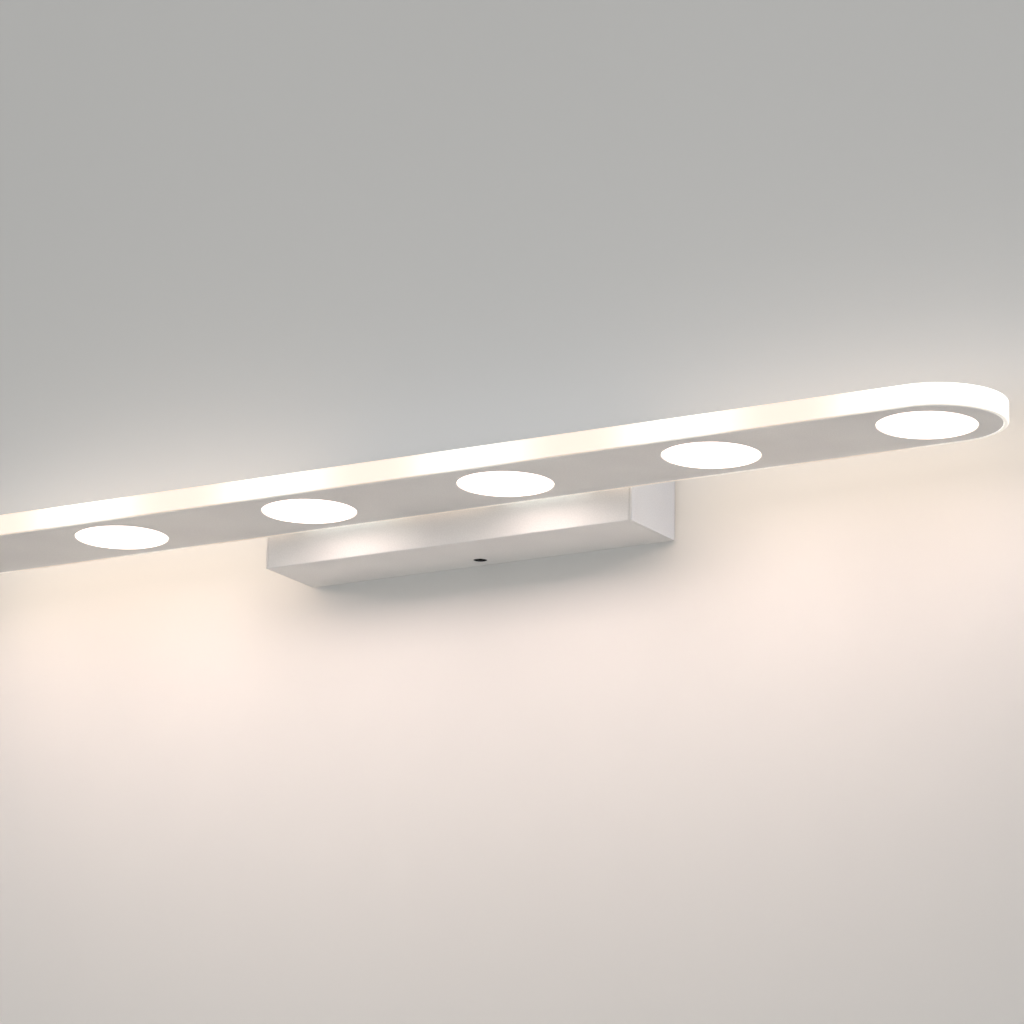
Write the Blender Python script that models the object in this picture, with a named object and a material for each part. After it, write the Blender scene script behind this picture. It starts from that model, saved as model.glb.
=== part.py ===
"""Vanity light bar: a stadium-shaped opal and aluminium light bar, held out from the wall by a box
canopy that slides over a wall bracket and is locked from below by one set screw.

Metres, +Z up. The origin is the centre of the wall bracket's back face: X runs along the bar and
-Y points out of the wall. Each piece is one closed solid, under the name of the node it becomes.
"""

import math

import bmesh
import bpy
from mathutils import Matrix, Vector

# ---------------------------------------------------------------- driving dimensions, metres
# Light bar
LENS_COUNT = 6
LENS_D = 0.0490
LENS_PITCH = 0.1165
SIDE_MARGIN = 0.0073  # lens to the long edge of the bottom plate
END_MARGIN = 0.0050  # last lens centre to the centre of the plate's round end
RIM = 0.0026  # opal rim left showing round each plate
CAVITY_H = 0.0080  # between the two plates
BAR_SHEET = 0.0015  # both plates
EDGE_WALL = 0.0065  # opal wall between the cavity and the outside
LENS_FLANGE_ROOM = 0.0011  # lens flange to the opal wall
LENS_FLANGE_T = 0.0012

# Canopy
CANOPY_L = 0.2185
CANOPY_D = 0.0458
CANOPY_H = 0.0420
CANOPY_SHEET = 0.0015
CORNER_R = 0.0008
CAP_ARRIS = 0.0003
BAR_GAP = 0.0042  # canopy front to the bar's rear edge

# Wall bracket
BRACKET_FROM_END = 0.01125  # bracket's end to the canopy's end
BRACKET_SHEET = 0.0015
BRACKET_FLANGE = 0.0140
SLOT_FROM_END = 0.0360
SLOT_L = 0.0140
SLOT_W = 0.0045
CABLE_HOLE_D = 0.0220
CABLE_HOLE_FROM_END = 0.07325  # measured from the canopy's right end
TONGUE_W = 0.0160
TONGUE_PAST = 0.0033  # tongue's tip past the locking screw's axis
TONGUE_OVER = 0.0012  # tongue over the locking nut
TONGUE_RELIEF = 0.0040  # cut away beside the tongue

# Locking screw
LOCK_HOLE_D = 0.0074
LOCK_SCREW_D = 0.0047
LOCK_SCREW_RECESS = 0.0006
LOCK_FROM_WALL = 0.0102
LOCK_SOCKET_AF = 0.0025
LOCK_NUT_AF = 0.0095
LOCK_NUT_T = 0.0030

# Arms between bar and canopy
ARM_FROM_END = 0.01925
ARM_BOLT_D = 0.0034
ARM_HEAD_AF = 0.0070
ARM_HEAD_T = 0.0028
SPACER_WALL = 0.0023
BLOCK_L = 0.0180
BLOCK_D = 0.0070
BLOCK_SCREW_SHIFT = 0.0058  # from the block's centre, clear of its bolt
BUSH_FROM_END = 0.07925
BUSH_ROOM = 0.0007  # bush to each plate
BUSH_WALL = 0.0009
BUSH_FLANGE = 0.00195
BUSH_FLANGE_T = 0.0015

# Inside the bar
MODULE_IN_LENS = 0.0050  # module's edge inside its lens's edge
MODULE_T = 0.0010
CHIP = (0.0035, 0.0028, 0.0007)
CHIP_RING_IN = 0.0075  # ring of chips inside the module's edge
CHIPS_PER_RING = 8
PILLAR_D = 0.0062
COVER_SCREW_D = 0.0026
BUS_WIRE_D = 0.0014
BUS_PAST_MODULE = 0.0022
BUS_PITCH = 0.0030

# Inside the canopy
DRIVER_FROM_END = 0.02925
DRIVER_FROM_BUSH = 0.0100
DRIVER_D = 0.0240
DRIVER_H = 0.0260
DRIVER_WALL = 0.0015
DRIVER_PAD_T = 0.0010
TERMINAL_L = 0.0270
TERMINAL_D = 0.0150
TERMINAL_H = 0.0180
TERMINAL_FROM_END = 0.06125
TERMINAL_POLES = 3
WIRE_D = 0.0018
EARTH_FROM_END = 0.01075
EARTH_OVER_FLOOR = 0.0075
EARTH_D = 0.0034

# Clearances
TOUCH = 0.0003  # gap kept between pieces that touch
ARC = 24  # segments in half a turn of the bar's ends
ROUND = 16  # segments of a small round piece

# ---------------------------------------------------------------- places worked out from them
PLATE_W = LENS_D + 2 * SIDE_MARGIN
PLATE_L = (LENS_COUNT - 1) * LENS_PITCH + 2 * END_MARGIN + PLATE_W
BAR_W = PLATE_W + 2 * RIM
BAR_L = PLATE_L + 2 * RIM
BAR_T = CAVITY_H + 2 * BAR_SHEET
HALF_L = CANOPY_L / 2
CANOPY_BACK = -TOUCH
CANOPY_FRONT = CANOPY_BACK - CANOPY_D
CANOPY_INNER = CANOPY_FRONT + CANOPY_SHEET
BAR_REAR = CANOPY_FRONT - BAR_GAP
BAR_Y = BAR_REAR - BAR_W / 2
BAR_BOTTOM = -BAR_T / 2
BAR_TOP = BAR_T / 2
CAVITY_BOTTOM = BAR_BOTTOM + BAR_SHEET
CAVITY_TOP = BAR_TOP - BAR_SHEET
FLOOR_INNER = -CANOPY_H / 2 + CANOPY_SHEET
BRACKET_L = CANOPY_L - 2 * BRACKET_FROM_END
BRACKET_H = CANOPY_H - 2 * CANOPY_SHEET - 2 * TOUCH
SLOT_X = BRACKET_L / 2 - SLOT_FROM_END
CABLE_HOLE_X = HALF_L - CABLE_HOLE_FROM_END
LENS_X = [(i - (LENS_COUNT - 1) / 2) * LENS_PITCH for i in range(LENS_COUNT)]
LENS_FLANGE = BAR_W / 2 - EDGE_WALL - LENS_FLANGE_ROOM - LENS_D / 2
LENS_TOP = CAVITY_BOTTOM + TOUCH + LENS_FLANGE_T
PILLAR_X = [(a + b) / 2 for a, b in zip(LENS_X, LENS_X[1:])]
COVER_HEAD_D = COVER_SCREW_D + 2 * BAR_SHEET
LOCK_Y = -LOCK_FROM_WALL
TONGUE_L = LOCK_FROM_WALL + TONGUE_PAST
NUT_TOP = FLOOR_INNER + TOUCH + LOCK_NUT_T
TONGUE_UNDER = NUT_TOP + TONGUE_OVER
MODULE_D = LENS_D - 2 * MODULE_IN_LENS
CHIP_RING_D = MODULE_D - 2 * CHIP_RING_IN
BOARD_UNDER = CAVITY_TOP - TOUCH - MODULE_T
BUS_Z = BOARD_UNDER - TOUCH - BUS_WIRE_D / 2
BUS_Y = (BAR_Y - MODULE_D / 2 - BUS_PAST_MODULE, BAR_Y - MODULE_D / 2 - BUS_PAST_MODULE - BUS_PITCH)
ARM_X = HALF_L - ARM_FROM_END
BLOCK_TOP = CAVITY_TOP - TOUCH
BLOCK_BOTTOM = LENS_TOP + TOUCH
BLOCK_REAR = BAR_REAR - EDGE_WALL - TOUCH
ARM_Z = (BLOCK_TOP + BLOCK_BOTTOM) / 2
SPACER_D = ARM_BOLT_D + 2 * TOUCH + 2 * SPACER_WALL
BUSH_X = HALF_L - BUSH_FROM_END
BUSH_D = CAVITY_H - 2 * BUSH_ROOM
BUSH_BORE = BUSH_D - 2 * BUSH_WALL
BUSH_FLANGE_D = BUSH_D + 2 * BUSH_FLANGE
LEAD_D = BUSH_BORE * 0.30
LEAD_SHIFT = BUSH_BORE * 0.23  # each lead's centre from the bush's
DRIVER_LEFT = -HALF_L + DRIVER_FROM_END
DRIVER_L = BUSH_X - DRIVER_FROM_BUSH - DRIVER_LEFT
TERMINAL_LEFT = HALF_L - TERMINAL_FROM_END
EARTH_X = HALF_L - EARTH_FROM_END
EARTH_Z = FLOOR_INNER + EARTH_OVER_FLOOR

# ---------------------------------------------------------------- scene, materials, mesh helpers
for leftover in list(bpy.data.objects):
    bpy.data.objects.remove(leftover)


def material(name, red, green, blue, roughness, metallic=0.0):
    """A Principled material with one linear colour."""
    made = bpy.data.materials.new(name)
    made.use_nodes = True
    made.diffuse_color = (red, green, blue, 1)
    shader = made.node_tree.nodes["Principled BSDF"]
    shader.inputs["Base Color"].default_value = (red, green, blue, 1)
    shader.inputs["Roughness"].default_value = roughness
    shader.inputs["Metallic"].default_value = metallic
    return made


ALUMINIUM = material("satin_aluminium", 0.55, 0.54, 0.53, 0.42, 1.0)
OPAL = material("opal_acrylic", 0.92, 0.90, 0.86, 0.35)
ZINC = material("zinc_plated_steel", 0.50, 0.51, 0.53, 0.35, 1.0)
BLACK_STEEL = material("black_oxide_steel", 0.012, 0.012, 0.013, 0.45, 0.6)
BRASS = material("brass", 0.60, 0.42, 0.16, 0.35, 1.0)
BOARD = material("white_circuit_board", 0.80, 0.80, 0.77, 0.55)
GREEN_BOARD = material("green_circuit_board", 0.02, 0.16, 0.06, 0.50)
CASE = material("white_case_plastic", 0.72, 0.72, 0.70, 0.50)
RUBBER = material("black_rubber", 0.015, 0.015, 0.015, 0.75)
FOAM = material("grey_foam_tape", 0.18, 0.18, 0.18, 0.95)
RED_WIRE = material("red_insulation", 0.45, 0.02, 0.02, 0.50)
BLACK_WIRE = material("black_insulation", 0.02, 0.02, 0.02, 0.50)
BROWN_WIRE = material("brown_insulation", 0.10, 0.035, 0.012, 0.50)
BLUE_WIRE = material("blue_insulation", 0.02, 0.08, 0.40, 0.50)
GREEN_WIRE = material("green_yellow_insulation", 0.15, 0.42, 0.04, 0.50)


def empty(name, at, parent=None):
    """An empty that carries the pieces which move together."""
    made = bpy.data.objects.new(name, None)
    bpy.context.scene.collection.objects.link(made)
    made.location = Vector(at) - (parent.location if parent else Vector())
    made.parent = parent
    return made


LUMINAIRE = empty("luminaire_slides_off", (0, 0, 0))
LOCK_AXIS = empty("locking_screw_axis", (0, LOCK_Y, -CANOPY_H / 2), LUMINAIRE)


def placed(name, bm, finish, parent=LUMINAIRE, at=(0, 0, 0), turn=None, smooth=30):
    """Makes an object of a bmesh, turned by a matrix and then put at a place in the part's frame."""
    mesh = bpy.data.meshes.new(name)
    bm.to_mesh(mesh)
    bm.free()
    if turn:
        mesh.transform(turn.to_4x4())
    if smooth:
        mesh.shade_smooth()
        mesh.set_sharp_from_angle(angle=math.radians(smooth))
    mesh.materials.append(finish)
    made = bpy.data.objects.new(name, mesh)
    bpy.context.scene.collection.objects.link(made)
    made.parent = parent
    carried = parent.matrix_parent_inverse @ Vector() if parent else Vector()
    step = parent
    while step:
        carried = carried + step.location
        step = step.parent
    made.location = Vector(at) - carried
    return made


def cutter(name, bm, at=(0, 0, 0), turn=None):
    """A hidden shape for a Boolean."""
    made = placed(name, bm, OPAL, None, at, turn, smooth=0)
    made.hide_render = True
    made.display_type = "WIRE"
    return made


def boolean(piece, other, operation="DIFFERENCE"):
    """Cuts piece by other, or joins other to it."""
    step = piece.modifiers.new(operation.lower(), "BOOLEAN")
    step.operation = operation
    step.solver = "EXACT"
    step.object = other


TO_Y = Matrix.Rotation(math.radians(90), 3, "X")  # carries +Z onto -Y
FROM_Y = Matrix.Rotation(math.radians(-90), 3, "X")  # carries +Z onto +Y


def turned(profile, segments=ROUND, closed=False):
    """(radius, height) points spun about Z. A closed profile is a ring; an open one starts and ends on Z."""
    bm = bmesh.new()
    verts = [bm.verts.new((radius, 0, height)) for radius, height in profile]
    edges = [bm.edges.new(pair) for pair in zip(verts, verts[1:])]
    if closed:
        edges.append(bm.edges.new((verts[-1], verts[0])))
    bmesh.ops.spin(
        bm, geom=verts + edges, cent=(0, 0, 0), axis=(0, 0, 1), angle=math.tau, steps=segments, use_merge=True
    )
    bmesh.ops.remove_doubles(bm, verts=bm.verts, dist=1e-6)
    bmesh.ops.recalc_face_normals(bm, faces=bm.faces)
    return bm


def rod(diameter, low, high, segments=ROUND):
    """A plain cylinder along Z."""
    radius = diameter / 2
    return turned([(0, low), (radius, low), (radius, high), (0, high)], segments)


def tube(outer, inner, low, high, segments=ROUND):
    """A plain sleeve along Z."""
    return turned(
        [(inner / 2, low), (outer / 2, low), (outer / 2, high), (inner / 2, high)], segments, closed=True
    )


def across_flats(flats):
    """The diameter over the corners of a hexagon."""
    return flats / math.cos(math.radians(30))


def block(low, high, bevel=0.0):
    """A box between two corners, with its edges cut back by bevel."""
    bm = bmesh.new()
    bmesh.ops.create_cube(bm, size=1)
    size = Vector(high) - Vector(low)
    middle = (Vector(high) + Vector(low)) / 2
    bmesh.ops.scale(bm, vec=size, verts=bm.verts)
    bmesh.ops.translate(bm, vec=middle, verts=bm.verts)
    if bevel:
        bmesh.ops.bevel(bm, geom=bm.edges, offset=bevel, segments=1, affect="EDGES")
    return bm


def circle(middle, radius, segments):
    """Points round a circle."""
    angles = (math.tau * i / segments for i in range(segments))
    return [(middle[0] + radius * math.cos(a), middle[1] + radius * math.sin(a)) for a in angles]


def stadium(length, width, segments=ARC, middle=(0, 0)):
    """Points round two half circles joined by straights, along the first axis."""
    radius = width / 2
    reach = length / 2 - radius
    points = []
    for side, start in ((1, -90), (-1, 90)):
        for i in range(segments + 1):
            angle = math.radians(start + 180 * i / segments)
            points.append(
                (middle[0] + side * reach + radius * math.cos(angle), middle[1] + radius * math.sin(angle))
            )
    return points


def sheet(outline, holes, low, high):
    """An outline with holes in it, filled at one height and extruded to another."""
    bm = bmesh.new()
    edges = []
    for loop in (outline, *holes):
        verts = [bm.verts.new((x, y, low)) for x, y in loop]
        edges += [bm.edges.new(pair) for pair in zip(verts, verts[1:] + verts[:1])]
    bmesh.ops.triangle_fill(bm, use_beauty=True, use_dissolve=False, edges=edges)
    bmesh.ops.recalc_face_normals(bm, faces=bm.faces)
    grown = bmesh.ops.extrude_face_region(bm, geom=bm.faces[:])
    top = [v for v in grown["geom"] if isinstance(v, bmesh.types.BMVert)]
    bmesh.ops.translate(bm, vec=(0, 0, high - low), verts=top)
    bmesh.ops.recalc_face_normals(bm, faces=bm.faces)
    return bm


def smooth_route(points, per_stretch):
    """Points along a smooth curve through the given ones (Catmull-Rom)."""
    knots = [Vector(p) for p in points]
    padded = [2 * knots[0] - knots[1], *knots, 2 * knots[-1] - knots[-2]]
    route = []
    for a, b, c, d in zip(padded, padded[1:], padded[2:], padded[3:]):
        for i in range(per_stretch):
            t = i / per_stretch
            route.append(
                0.5 * (2 * b + (c - a) * t + (2 * a - 5 * b + 4 * c - d) * t**2 + (3 * b - a - 3 * c + d) * t**3)
            )
    return [*route, knots[-1]]


def wire(name, points, diameter, finish, per_stretch=3):
    """An insulated wire along a smooth route."""
    curve = bpy.data.curves.new(name, "CURVE")
    curve.dimensions = "3D"
    curve.bevel_depth = diameter / 2
    curve.bevel_resolution = 2
    curve.use_fill_caps = True
    route = smooth_route(points, per_stretch) if per_stretch > 1 else [Vector(p) for p in points]
    spline = curve.splines.new("POLY")
    spline.points.add(len(route) - 1)
    for point, place in zip(spline.points, route):
        point.co = (*place, 1)
    curve.materials.append(finish)
    made = bpy.data.objects.new(name, curve)
    bpy.context.scene.collection.objects.link(made)
    made.parent = LUMINAIRE
    return made


# ---------------------------------------------------------------- light bar


def arm_holes():
    """(x, z, diameter) of what passes between the bar and the canopy: two bolts and the cable bush."""
    return ((-ARM_X, ARM_Z, ARM_BOLT_D), (ARM_X, ARM_Z, ARM_BOLT_D), (BUSH_X, 0, BUSH_D))


def edge_diffuser():
    """The opal frame: a stadium ring with a rebate above and below for the two plates."""
    ease = 0.0004
    seat = BAR_SHEET + TOUCH
    lip = RIM - TOUCH
    profile = [
        (0, BAR_BOTTOM + ease),
        (ease, BAR_BOTTOM),
        (lip, BAR_BOTTOM),
        (lip, BAR_BOTTOM + seat),
        (EDGE_WALL, BAR_BOTTOM + seat),
        (EDGE_WALL, BAR_TOP - seat),
        (lip, BAR_TOP - seat),
        (lip, BAR_TOP),
        (ease, BAR_TOP),
        (0, BAR_TOP - ease),
    ]
    bm = bmesh.new()
    loops = [
        [bm.verts.new((x, y, z)) for x, y in stadium(BAR_L - 2 * inset, BAR_W - 2 * inset)]
        for inset, z in profile
    ]
    for here, after in zip(loops, loops[1:] + loops[:1]):
        for i, vert in enumerate(here):
            j = (i + 1) % len(here)
            bm.faces.new((vert, here[j], after[j], after[i]))
    bmesh.ops.recalc_face_normals(bm, faces=bm.faces)
    ring = placed("edge_diffuser", bm, OPAL, at=(0, BAR_Y, 0))
    reach = EDGE_WALL + 2 * TOUCH
    for x, z, diameter in arm_holes():
        drill = rod(diameter + 2 * TOUCH, -TOUCH, reach)
        boolean(ring, cutter(f"edge_drill_{round(x * 1000)}", drill, (x, BAR_REAR, z), TO_Y))


def bottom_plate():
    """The aluminium plate that faces down, with one round hole for each lens."""
    holes = [circle((x, 0), LENS_D / 2, 2 * ARC) for x in LENS_X]
    bm = sheet(stadium(PLATE_L, PLATE_W), holes, BAR_BOTTOM, CAVITY_BOTTOM)
    placed("bottom_plate", bm, ALUMINIUM, at=(0, BAR_Y, 0))


def countersink(x, y):
    """Cuts a countersunk screw hole down through the top plate."""
    hole = COVER_SCREW_D / 2 + TOUCH
    head = COVER_HEAD_D / 2 + TOUCH
    over = 0.001
    depth = head - hole
    profile = [
        (0, CAVITY_TOP - over),
        (hole, CAVITY_TOP - over),
        (hole, BAR_TOP - depth),
        (head, BAR_TOP),
        (head, BAR_TOP + over),
        (0, BAR_TOP + over),
    ]
    return cutter(f"countersink_{round(x * 1000)}", turned(profile), (x, y, 0))


def countersunk_screw(name, x, y, length):
    """A countersunk machine screw, with a hexagon socket in its flat head."""
    shank = COVER_SCREW_D / 2
    head = COVER_HEAD_D / 2
    flush = BAR_TOP - 0.0001
    profile = [(0, flush - length), (shank, flush - length), (shank, flush - (head - shank)), (head, flush), (0, flush)]
    screw = placed(name, turned(profile), ZINC, at=(x, y, 0))
    socket = rod(across_flats(0.0020), flush - 0.0011, flush + 0.001, 6)
    boolean(screw, cutter(name + "_socket", socket, (x, y, 0)))


def top_plate():
    """The aluminium plate over the bar, which carries the modules and takes every screw of the bar."""
    bm = sheet(stadium(PLATE_L, PLATE_W), [], CAVITY_TOP, BAR_TOP)
    plate = placed("top_plate", bm, ALUMINIUM, at=(0, BAR_Y, 0))
    for x in PILLAR_X:
        boolean(plate, countersink(x, BAR_Y))
    for side in (-1, 1):
        boolean(plate, countersink(side * (ARM_X + BLOCK_SCREW_SHIFT), BLOCK_REAR - BLOCK_D / 2))


def lenses():
    """Opal discs flush with the bottom plate, each with a flange that rests behind its hole."""
    face = LENS_D / 2 - TOUCH
    flange = LENS_D / 2 + LENS_FLANGE
    seat = CAVITY_BOTTOM + TOUCH
    ease = 0.0003
    profile = [
        (0, BAR_BOTTOM),
        (face - ease, BAR_BOTTOM),
        (face, BAR_BOTTOM + ease),
        (face, seat),
        (flange, seat),
        (flange, seat + LENS_FLANGE_T),
        (0, seat + LENS_FLANGE_T),
    ]
    for i, x in enumerate(LENS_X):
        placed(f"lens_{i + 1}", turned(profile, 2 * ARC), OPAL, at=(x, BAR_Y, 0))


def led_modules():
    """Round aluminium-core boards under the top plate, with a ring of chips and a tab over the bus wires."""
    radius = MODULE_D / 2
    tab_half = 0.0040
    tab_end = BAR_Y - BUS_Y[1] + BUS_WIRE_D / 2
    tab_angle = math.asin(tab_half / radius)
    steps = 2 * ARC
    start = -math.pi / 2 + tab_angle
    sweep = math.tau - 2 * tab_angle
    outline = [
        (radius * math.cos(start + sweep * i / steps), radius * math.sin(start + sweep * i / steps))
        for i in range(steps + 1)
    ]
    outline += [(-tab_half, -tab_end), (tab_half, -tab_end)]
    sink = 0.0002  # how far a chip's body is soldered into the board
    for i, x in enumerate(LENS_X):
        bm = sheet(outline, [], BOARD_UNDER, BOARD_UNDER + MODULE_T)
        module = placed(f"led_module_{i + 1}", bm, BOARD, at=(x, BAR_Y, 0))
        chips = bmesh.new()
        for j in range(CHIPS_PER_RING):
            spin = Matrix.Rotation(math.tau * j / CHIPS_PER_RING, 4, "Z")
            place = spin @ Matrix.Translation((CHIP_RING_D / 2, 0, BOARD_UNDER + sink - (CHIP[2] + sink) / 2))
            size = Matrix.Diagonal((CHIP[0], CHIP[1], CHIP[2] + sink, 1))
            bmesh.ops.create_cube(chips, size=1, matrix=place @ size)
        boolean(module, cutter(f"chips_{i + 1}", chips, (x, BAR_Y, 0)), "UNION")


def pillars_and_screws():
    """Threaded pillars on the bottom plate, between the lenses, and the screws that draw the plates together."""
    low = CAVITY_BOTTOM + TOUCH
    high = CAVITY_TOP - TOUCH
    for i, x in enumerate(PILLAR_X):
        bm = tube(PILLAR_D, COVER_SCREW_D + 2 * TOUCH, low, high)
        placed(f"pillar_{i + 1}", bm, ZINC, at=(x, BAR_Y, 0))
        countersunk_screw(f"cover_screw_{i + 1}", x, BAR_Y, (BAR_SHEET + CAVITY_H) * 0.65)


def bus_wires():
    """Two bare-ended wires along the front of the cavity, under the tabs of the modules."""
    reach = LENS_X[-1] + 0.006
    for name, y, finish in zip(("bus_wire_positive", "bus_wire_negative"), BUS_Y, (RED_WIRE, BLACK_WIRE)):
        wire(name, [(-reach, y, BUS_Z), (0, y, BUS_Z), (reach, y, BUS_Z)], BUS_WIRE_D, finish, 1)


def arms():
    """What carries the bar: a block under the top plate, a sleeve in the gap and a bolt from inside the canopy."""
    shank = CANOPY_SHEET + BAR_GAP + EDGE_WALL + TOUCH + BLOCK_D * 0.8
    for side, name in ((-1, "left"), (1, "right")):
        x = side * ARM_X
        low = (x - BLOCK_L / 2, BLOCK_REAR - BLOCK_D, BLOCK_BOTTOM)
        high = (x + BLOCK_L / 2, BLOCK_REAR, BLOCK_TOP)
        lug = placed(f"mounting_block_{name}", block(low, high, 0.0004), ALUMINIUM)
        thread = rod(ARM_BOLT_D + 2 * TOUCH, -0.001, BLOCK_D * 0.9)
        boolean(lug, cutter(f"block_thread_{name}", thread, (x, BLOCK_REAR, ARM_Z), TO_Y))
        screw_x = side * (ARM_X + BLOCK_SCREW_SHIFT)
        screw_y = BLOCK_REAR - BLOCK_D / 2
        tapped = rod(COVER_SCREW_D + 2 * TOUCH, BLOCK_BOTTOM + 0.001, BLOCK_TOP + 0.001)
        boolean(lug, cutter(f"block_tapping_{name}", tapped, (screw_x, screw_y, 0)))
        countersunk_screw(f"block_screw_{name}", screw_x, screw_y, BAR_TOP - BLOCK_BOTTOM - 0.0015)

        sleeve = tube(SPACER_D, ARM_BOLT_D + 2 * TOUCH, TOUCH, BAR_GAP - TOUCH, 2 * ROUND)
        placed(f"spacer_{name}", sleeve, ALUMINIUM, at=(x, CANOPY_FRONT, ARM_Z), turn=TO_Y)

        at = (x, CANOPY_INNER, ARM_Z)
        bolt = placed(f"arm_bolt_{name}", rod(ARM_BOLT_D, -2 * TOUCH, shank), ZINC, at=at, turn=TO_Y)
        head = rod(across_flats(ARM_HEAD_AF), -TOUCH - ARM_HEAD_T, -TOUCH, 6)
        boolean(bolt, cutter(f"arm_head_{name}", head, at, TO_Y), "UNION")


def cable_bush():
    """A flanged sleeve that takes the two LED leads from the canopy into the bar."""
    end = CANOPY_SHEET + BAR_GAP + EDGE_WALL + 0.0008
    profile = [
        (BUSH_BORE / 2, -TOUCH - BUSH_FLANGE_T),
        (BUSH_FLANGE_D / 2, -TOUCH - BUSH_FLANGE_T),
        (BUSH_FLANGE_D / 2, -TOUCH),
        (BUSH_D / 2, -TOUCH),
        (BUSH_D / 2, end),
        (BUSH_BORE / 2, end),
    ]
    bm = turned(profile, ROUND, closed=True)
    placed("cable_bush", bm, RUBBER, at=(BUSH_X, CANOPY_INNER, 0), turn=TO_Y)


# ---------------------------------------------------------------- canopy


def canopy_channel():
    """The folded sheet of the canopy: front, top and bottom, open at the wall and at both ends."""
    half = CANOPY_H / 2
    inner = half - CANOPY_SHEET
    length = CANOPY_L - 2 * (CANOPY_SHEET + TOUCH)
    corners = 3
    section = [(CANOPY_BACK, -half)]
    for i in range(corners + 1):
        a = math.radians(90 * i / corners)
        section.append((CANOPY_FRONT + CORNER_R * (1 - math.sin(a)), -half + CORNER_R * (1 - math.cos(a))))
    for i in range(corners + 1):
        a = math.radians(90 * (1 - i / corners))
        section.append((CANOPY_FRONT + CORNER_R * (1 - math.sin(a)), half - CORNER_R * (1 - math.cos(a))))
    section += [(CANOPY_BACK, half), (CANOPY_BACK, inner), (CANOPY_INNER, inner)]
    section += [(CANOPY_INNER, -inner), (CANOPY_BACK, -inner)]
    bm = sheet(section, [], -length / 2, length / 2)
    # The section is drawn with Y and Z as its axes, so it is turned to stand across X.
    stand = Matrix(((0, 0, 1), (1, 0, 0), (0, 1, 0)))
    channel = placed("canopy_channel", bm, ALUMINIUM, turn=stand)
    through = CANOPY_SHEET + 0.002
    for x, z, diameter in arm_holes():
        drill = rod(diameter + 2 * TOUCH, -0.001, through)
        boolean(channel, cutter(f"canopy_drill_{round(x * 1000)}", drill, (x, CANOPY_INNER, z), TO_Y))
    lock = rod(LOCK_HOLE_D, -0.001, through, 2 * ROUND)
    boolean(channel, cutter("lock_hole", lock, (0, LOCK_Y, -CANOPY_H / 2)))


def end_caps():
    """Plates that close the canopy's ends, each with two tongues welded inside the channel."""
    half = CANOPY_H / 2
    tongue = 0.0080
    lip = 0.0012
    inner = half - CANOPY_SHEET - TOUCH
    for side, name in ((-1, "left"), (1, "right")):
        outer_x = side * CANOPY_L / 2
        inner_x = outer_x - side * CANOPY_SHEET
        low = (min(outer_x, inner_x), CANOPY_FRONT, -half)
        high = (max(outer_x, inner_x), CANOPY_BACK, half)
        cap = placed(f"end_cap_{name}", block(low, high, CAP_ARRIS), ALUMINIUM)
        for z_side, place in ((-1, "low"), (1, "high")):
            sunk = inner_x + side * CANOPY_SHEET / 2
            far = inner_x - side * tongue
            z0, z1 = sorted((z_side * inner, z_side * (inner - lip)))
            box = block((min(sunk, far), CANOPY_INNER + 0.004, z0), (max(sunk, far), CANOPY_BACK - 0.018, z1))
            boolean(cap, cutter(f"cap_tongue_{name}_{place}", box), "UNION")


def wall_bracket():
    """The folded steel strip on the wall: two flanges, wall-screw slots, a cable hole, and a tongue that is
    a middle stretch of the lower flange folded out higher up."""
    half = BRACKET_H / 2
    inner = half - BRACKET_SHEET
    section = [
        (0, -half),
        (-BRACKET_FLANGE, -half),
        (-BRACKET_FLANGE, -inner),
        (-BRACKET_SHEET, -inner),
        (-BRACKET_SHEET, inner),
        (-BRACKET_FLANGE, inner),
        (-BRACKET_FLANGE, half),
        (0, half),
    ]
    bm = sheet(section, [], -BRACKET_L / 2, BRACKET_L / 2)
    stand = Matrix(((0, 0, 1), (1, 0, 0), (0, 1, 0)))
    bracket = placed("wall_bracket", bm, ZINC, None, turn=stand)
    past = 0.002
    for side, name in ((-1, "left"), (1, "right")):
        slot = sheet(stadium(SLOT_L, SLOT_W, 8), [], -past, BRACKET_SHEET + past)
        boolean(bracket, cutter(f"wall_slot_{name}", slot, (side * SLOT_X, 0, 0), TO_Y))
    hole = rod(CABLE_HOLE_D, -past, BRACKET_SHEET + past, 2 * ROUND)
    boolean(bracket, cutter("cable_hole", hole, (CABLE_HOLE_X, 0, 0), TO_Y))
    # Room for the locking nut in the lower flange, and in the strip up to the tongue's fold.
    notch = TONGUE_W / 2 + TONGUE_RELIEF
    low = (-notch, -BRACKET_FLANGE - past, -half - past)
    high = (notch, past, TONGUE_UNDER + BRACKET_SHEET / 4)
    boolean(bracket, cutter("nut_notch", block(low, high)))
    low = (-TONGUE_W / 2, -TONGUE_L, TONGUE_UNDER)
    high = (TONGUE_W / 2, -BRACKET_SHEET / 4, TONGUE_UNDER + BRACKET_SHEET)
    boolean(bracket, cutter("tongue", block(low, high)), "UNION")


def bracket_grommet():
    """The rubber ring that lines the bracket's cable hole."""
    outer = CABLE_HOLE_D / 2 - TOUCH
    bore = outer - 0.0020
    shoulder = outer + 0.0015
    profile = [
        (bore, 0.0002),
        (outer, 0.0002),
        (outer, BRACKET_SHEET + TOUCH),
        (shoulder, BRACKET_SHEET + TOUCH),
        (shoulder, BRACKET_SHEET + 0.0016),
        (bore, BRACKET_SHEET + 0.0016),
    ]
    bm = turned(profile, 2 * ROUND, closed=True)
    placed("bracket_grommet", bm, RUBBER, None, at=(CABLE_HOLE_X, 0, 0), turn=TO_Y)


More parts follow.
